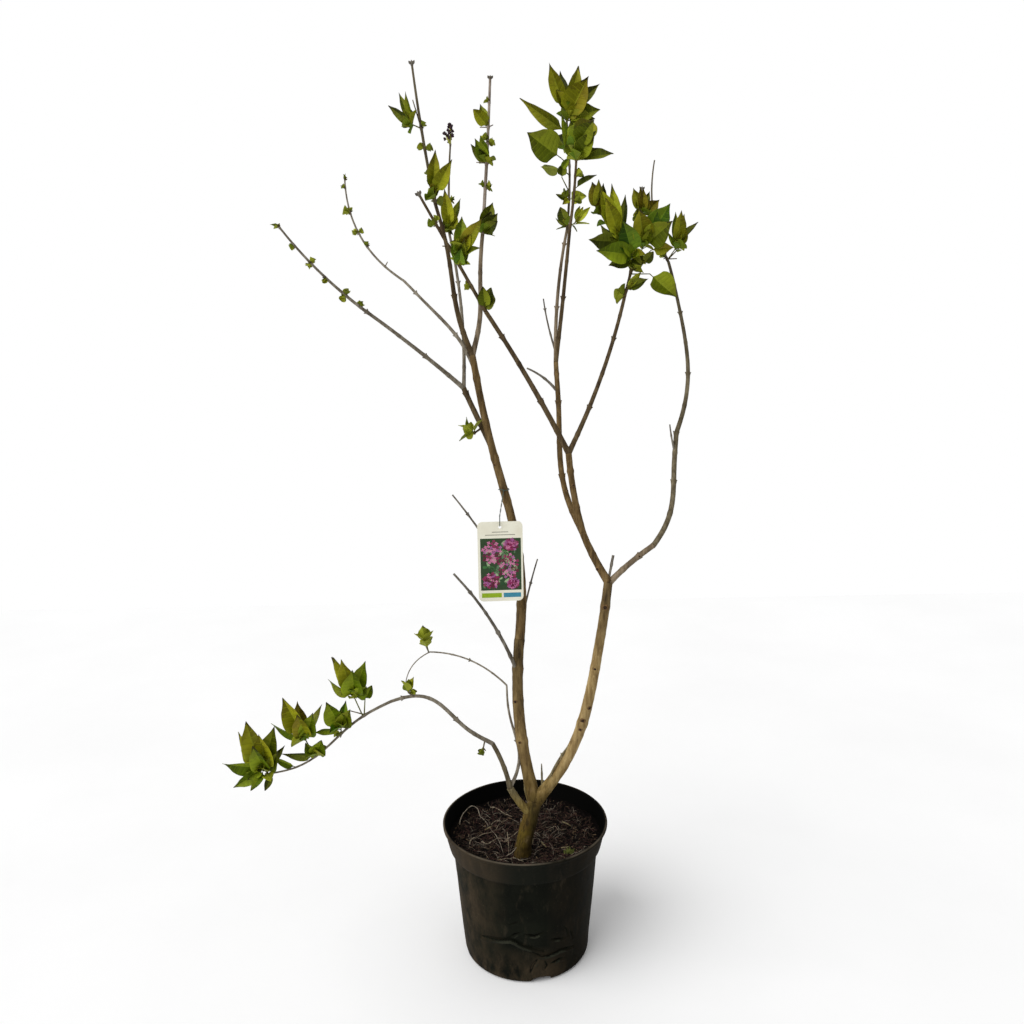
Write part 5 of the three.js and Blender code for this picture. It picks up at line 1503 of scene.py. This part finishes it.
def make_print():
    """A plain picture of blossom: leaves behind five loose clusters of four-petalled flowers, and bars."""
    draw = random_from(7400)
    batch = Batch()
    left, low, right, high = PICTURE
    print_box(batch, *PICTURE, "ground")
    for _ in range(PRINTED_LEAVES):
        x, z, turn = mix(left + 7, right - 7, draw()), mix(low + 7, high - 7, draw()), draw() * math.pi
        long, wide = mix(4, 7, draw()), mix(1.8, 3, draw())
        edge = [
            turned(math.cos(a) * long, math.sin(a) * wide * (1 - 0.4 * math.cos(a)), turn, x, z)
            for a in np.linspace(0, 2 * math.pi, 10, endpoint=False)
        ]
        print_shape(batch, edge, LEAF_INKS[int(draw() * 4)], 1)
    for middle, up, wide, tall in CLUSTERS:
        for number in range(CLUSTER_FLOWERS):
            turn, reach = number * SPIRAL, math.sqrt((number + 0.5) / CLUSTER_FLOWERS)
            x, z = middle + wide * reach * math.cos(turn), up + tall * reach * math.sin(turn)
            print_flower(batch, x, z, mix(2.3, 3.2, draw()), draw() * math.pi, FLOWER_INKS[int(draw() * 4)])
    print_box(batch, -31, -59, 1, -51.5, "green")
    print_box(batch, 4, -59, 32, -51.5, "teal")
    for half, z in ((13, 47.6), (24, 43)):
        print_box(batch, -half, z, half, z + 1.1, "rule")
    looks = [
        plain_look("print_" + name, tone, darkened(tone, 0.9), 300, (0.35, 0.45), 0.05)
        for name, tone in INKS.items()
    ]
    batch.build("label_print", looks, "label", smooth=False)


def make_tie():
    """A wire ring round the stem, one through the card's hole, and a twist of two wires between them."""
    centre = paths[TIE_STEM].point(TIE_AT)
    batch = Batch()
    turns = np.linspace(0, 2 * math.pi, 40)
    loop = [
        centre + vec(math.cos(t) * LOOP_RADIUS, math.sin(t) * LOOP_RADIUS, 0.8 * math.sin(2 * t))
        for t in turns
    ]
    tube(batch, loop, [WIRE_RADIUS] * len(loop), 8, reference=vec(0, 0, 1))
    x, y, z = TAG_CENTRE
    foot = z + TAG_HEIGHT / 2 - HOLE_DROP + HOLE_RADIUS - CLEARANCE - WIRE_RADIUS
    ring = [
        vec(x, y + math.sin(t) * HOOK_RADIUS * 0.8, foot + HOOK_RADIUS * (1 - math.cos(t)))
        for t in turns
    ]
    tube(batch, ring, [WIRE_RADIUS] * len(ring), 8, reference=vec(1, 0, 0))
    start, end = centre + vec(0, -LOOP_RADIUS, 0), vec(x, y, foot + 2 * HOOK_RADIUS)
    axes = vec(1, 0, 0), vec(0, 1, 0)
    for phase in (0, math.pi):
        twist = [
            mix(start, end, share) + around(axes, share * TWIST_TURN + phase) * TWIST_RADIUS
            for share in np.linspace(0, 1, TWIST_STEPS)
        ]
        tube(batch, twist, [WIRE_RADIUS * 0.75] * len(twist), 6)
    green = plain_look("wire_green", (84, 96, 88), (60, 68, 60), 200)
    batch.build("tie_wire", [green], "wire", ["label_tie"])


make_print()
make_tie()
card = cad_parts["label"]
card.data.materials.clear()
card.data.materials.append(
    plain_look("label_card", (232, 230, 212), (224, 220, 200), 40, (0.35, 0.5), 0.06, specular=0.3)
)

# ---------- Floor, light and camera ----------

FLOOR_REACH = 2.2  # metres
ROOM_LIGHT, SUN_ENERGY, SUN_ANGLE, SUN_WAY = 0.56, 2.3, math.radians(60), (0.9, 0.6, -1.0)
CAMERA_PLACE = (-0.0128, -1.346, 0.9907)
CAMERA_PITCH, CAMERA_ROLL = math.radians(9.61), math.radians(-1.015)
CAMERA_LENS, SENSOR, NEAREST = 29.88, 36, 0.01

scene = bpy.context.scene


def make_floor():
    corners = [(x * FLOOR_REACH, y * FLOOR_REACH, 0) for x, y in ((-1, -1), (1, -1), (1, 1), (-1, 1))]
    mesh = bpy.data.meshes.new("floor")
    mesh.from_pydata(corners, [], [(0, 1, 2, 3)])
    mesh.materials.append(plain_look("floor_white", (250, 250, 250), (247, 247, 247), 2, (0.9, 0.95), 0.0))
    add_object("floor", mesh)


def make_lights():
    """A soft sun, and a room that is white to the camera but gives less light."""
    scene.world = bpy.data.worlds.new("studio")
    scene.world.use_nodes = True
    tree = scene.world.node_tree
    dim, bright = tree.nodes["Background"], tree.nodes.new("ShaderNodeBackground")
    rays, either = tree.nodes.new("ShaderNodeLightPath"), tree.nodes.new("ShaderNodeMixShader")
    for background in (dim, bright):
        background.inputs["Color"].default_value = (1, 1, 1, 1)
    dim.inputs["Strength"].default_value = ROOM_LIGHT
    tree.links.new(rays.outputs["Is Camera Ray"], either.inputs["Fac"])
    tree.links.new(dim.outputs[0], either.inputs[1])
    tree.links.new(bright.outputs[0], either.inputs[2])
    tree.links.new(either.outputs[0], tree.nodes["World Output"].inputs["Surface"])
    scene.view_settings.view_transform = "Standard"
    sun = bpy.data.lights.new("key", "SUN")
    sun.energy, sun.angle = SUN_ENERGY, SUN_ANGLE
    add_object("key", sun).rotation_euler = Vector(SUN_WAY).to_track_quat("-Z", "Y").to_euler()


def make_camera():
    lens = bpy.data.cameras.new("camera")
    lens.lens, lens.sensor_width, lens.clip_start = CAMERA_LENS, SENSOR, NEAREST
    scene.camera = add_object("camera", lens)
    scene.camera.location = CAMERA_PLACE
    aim = Matrix.Rotation(math.pi / 2 - CAMERA_PITCH, 4, "X")
    scene.camera.rotation_euler = (aim @ Matrix.Rotation(CAMERA_ROLL, 4, "Z")).to_euler()


make_floor()
make_lights()
make_camera()
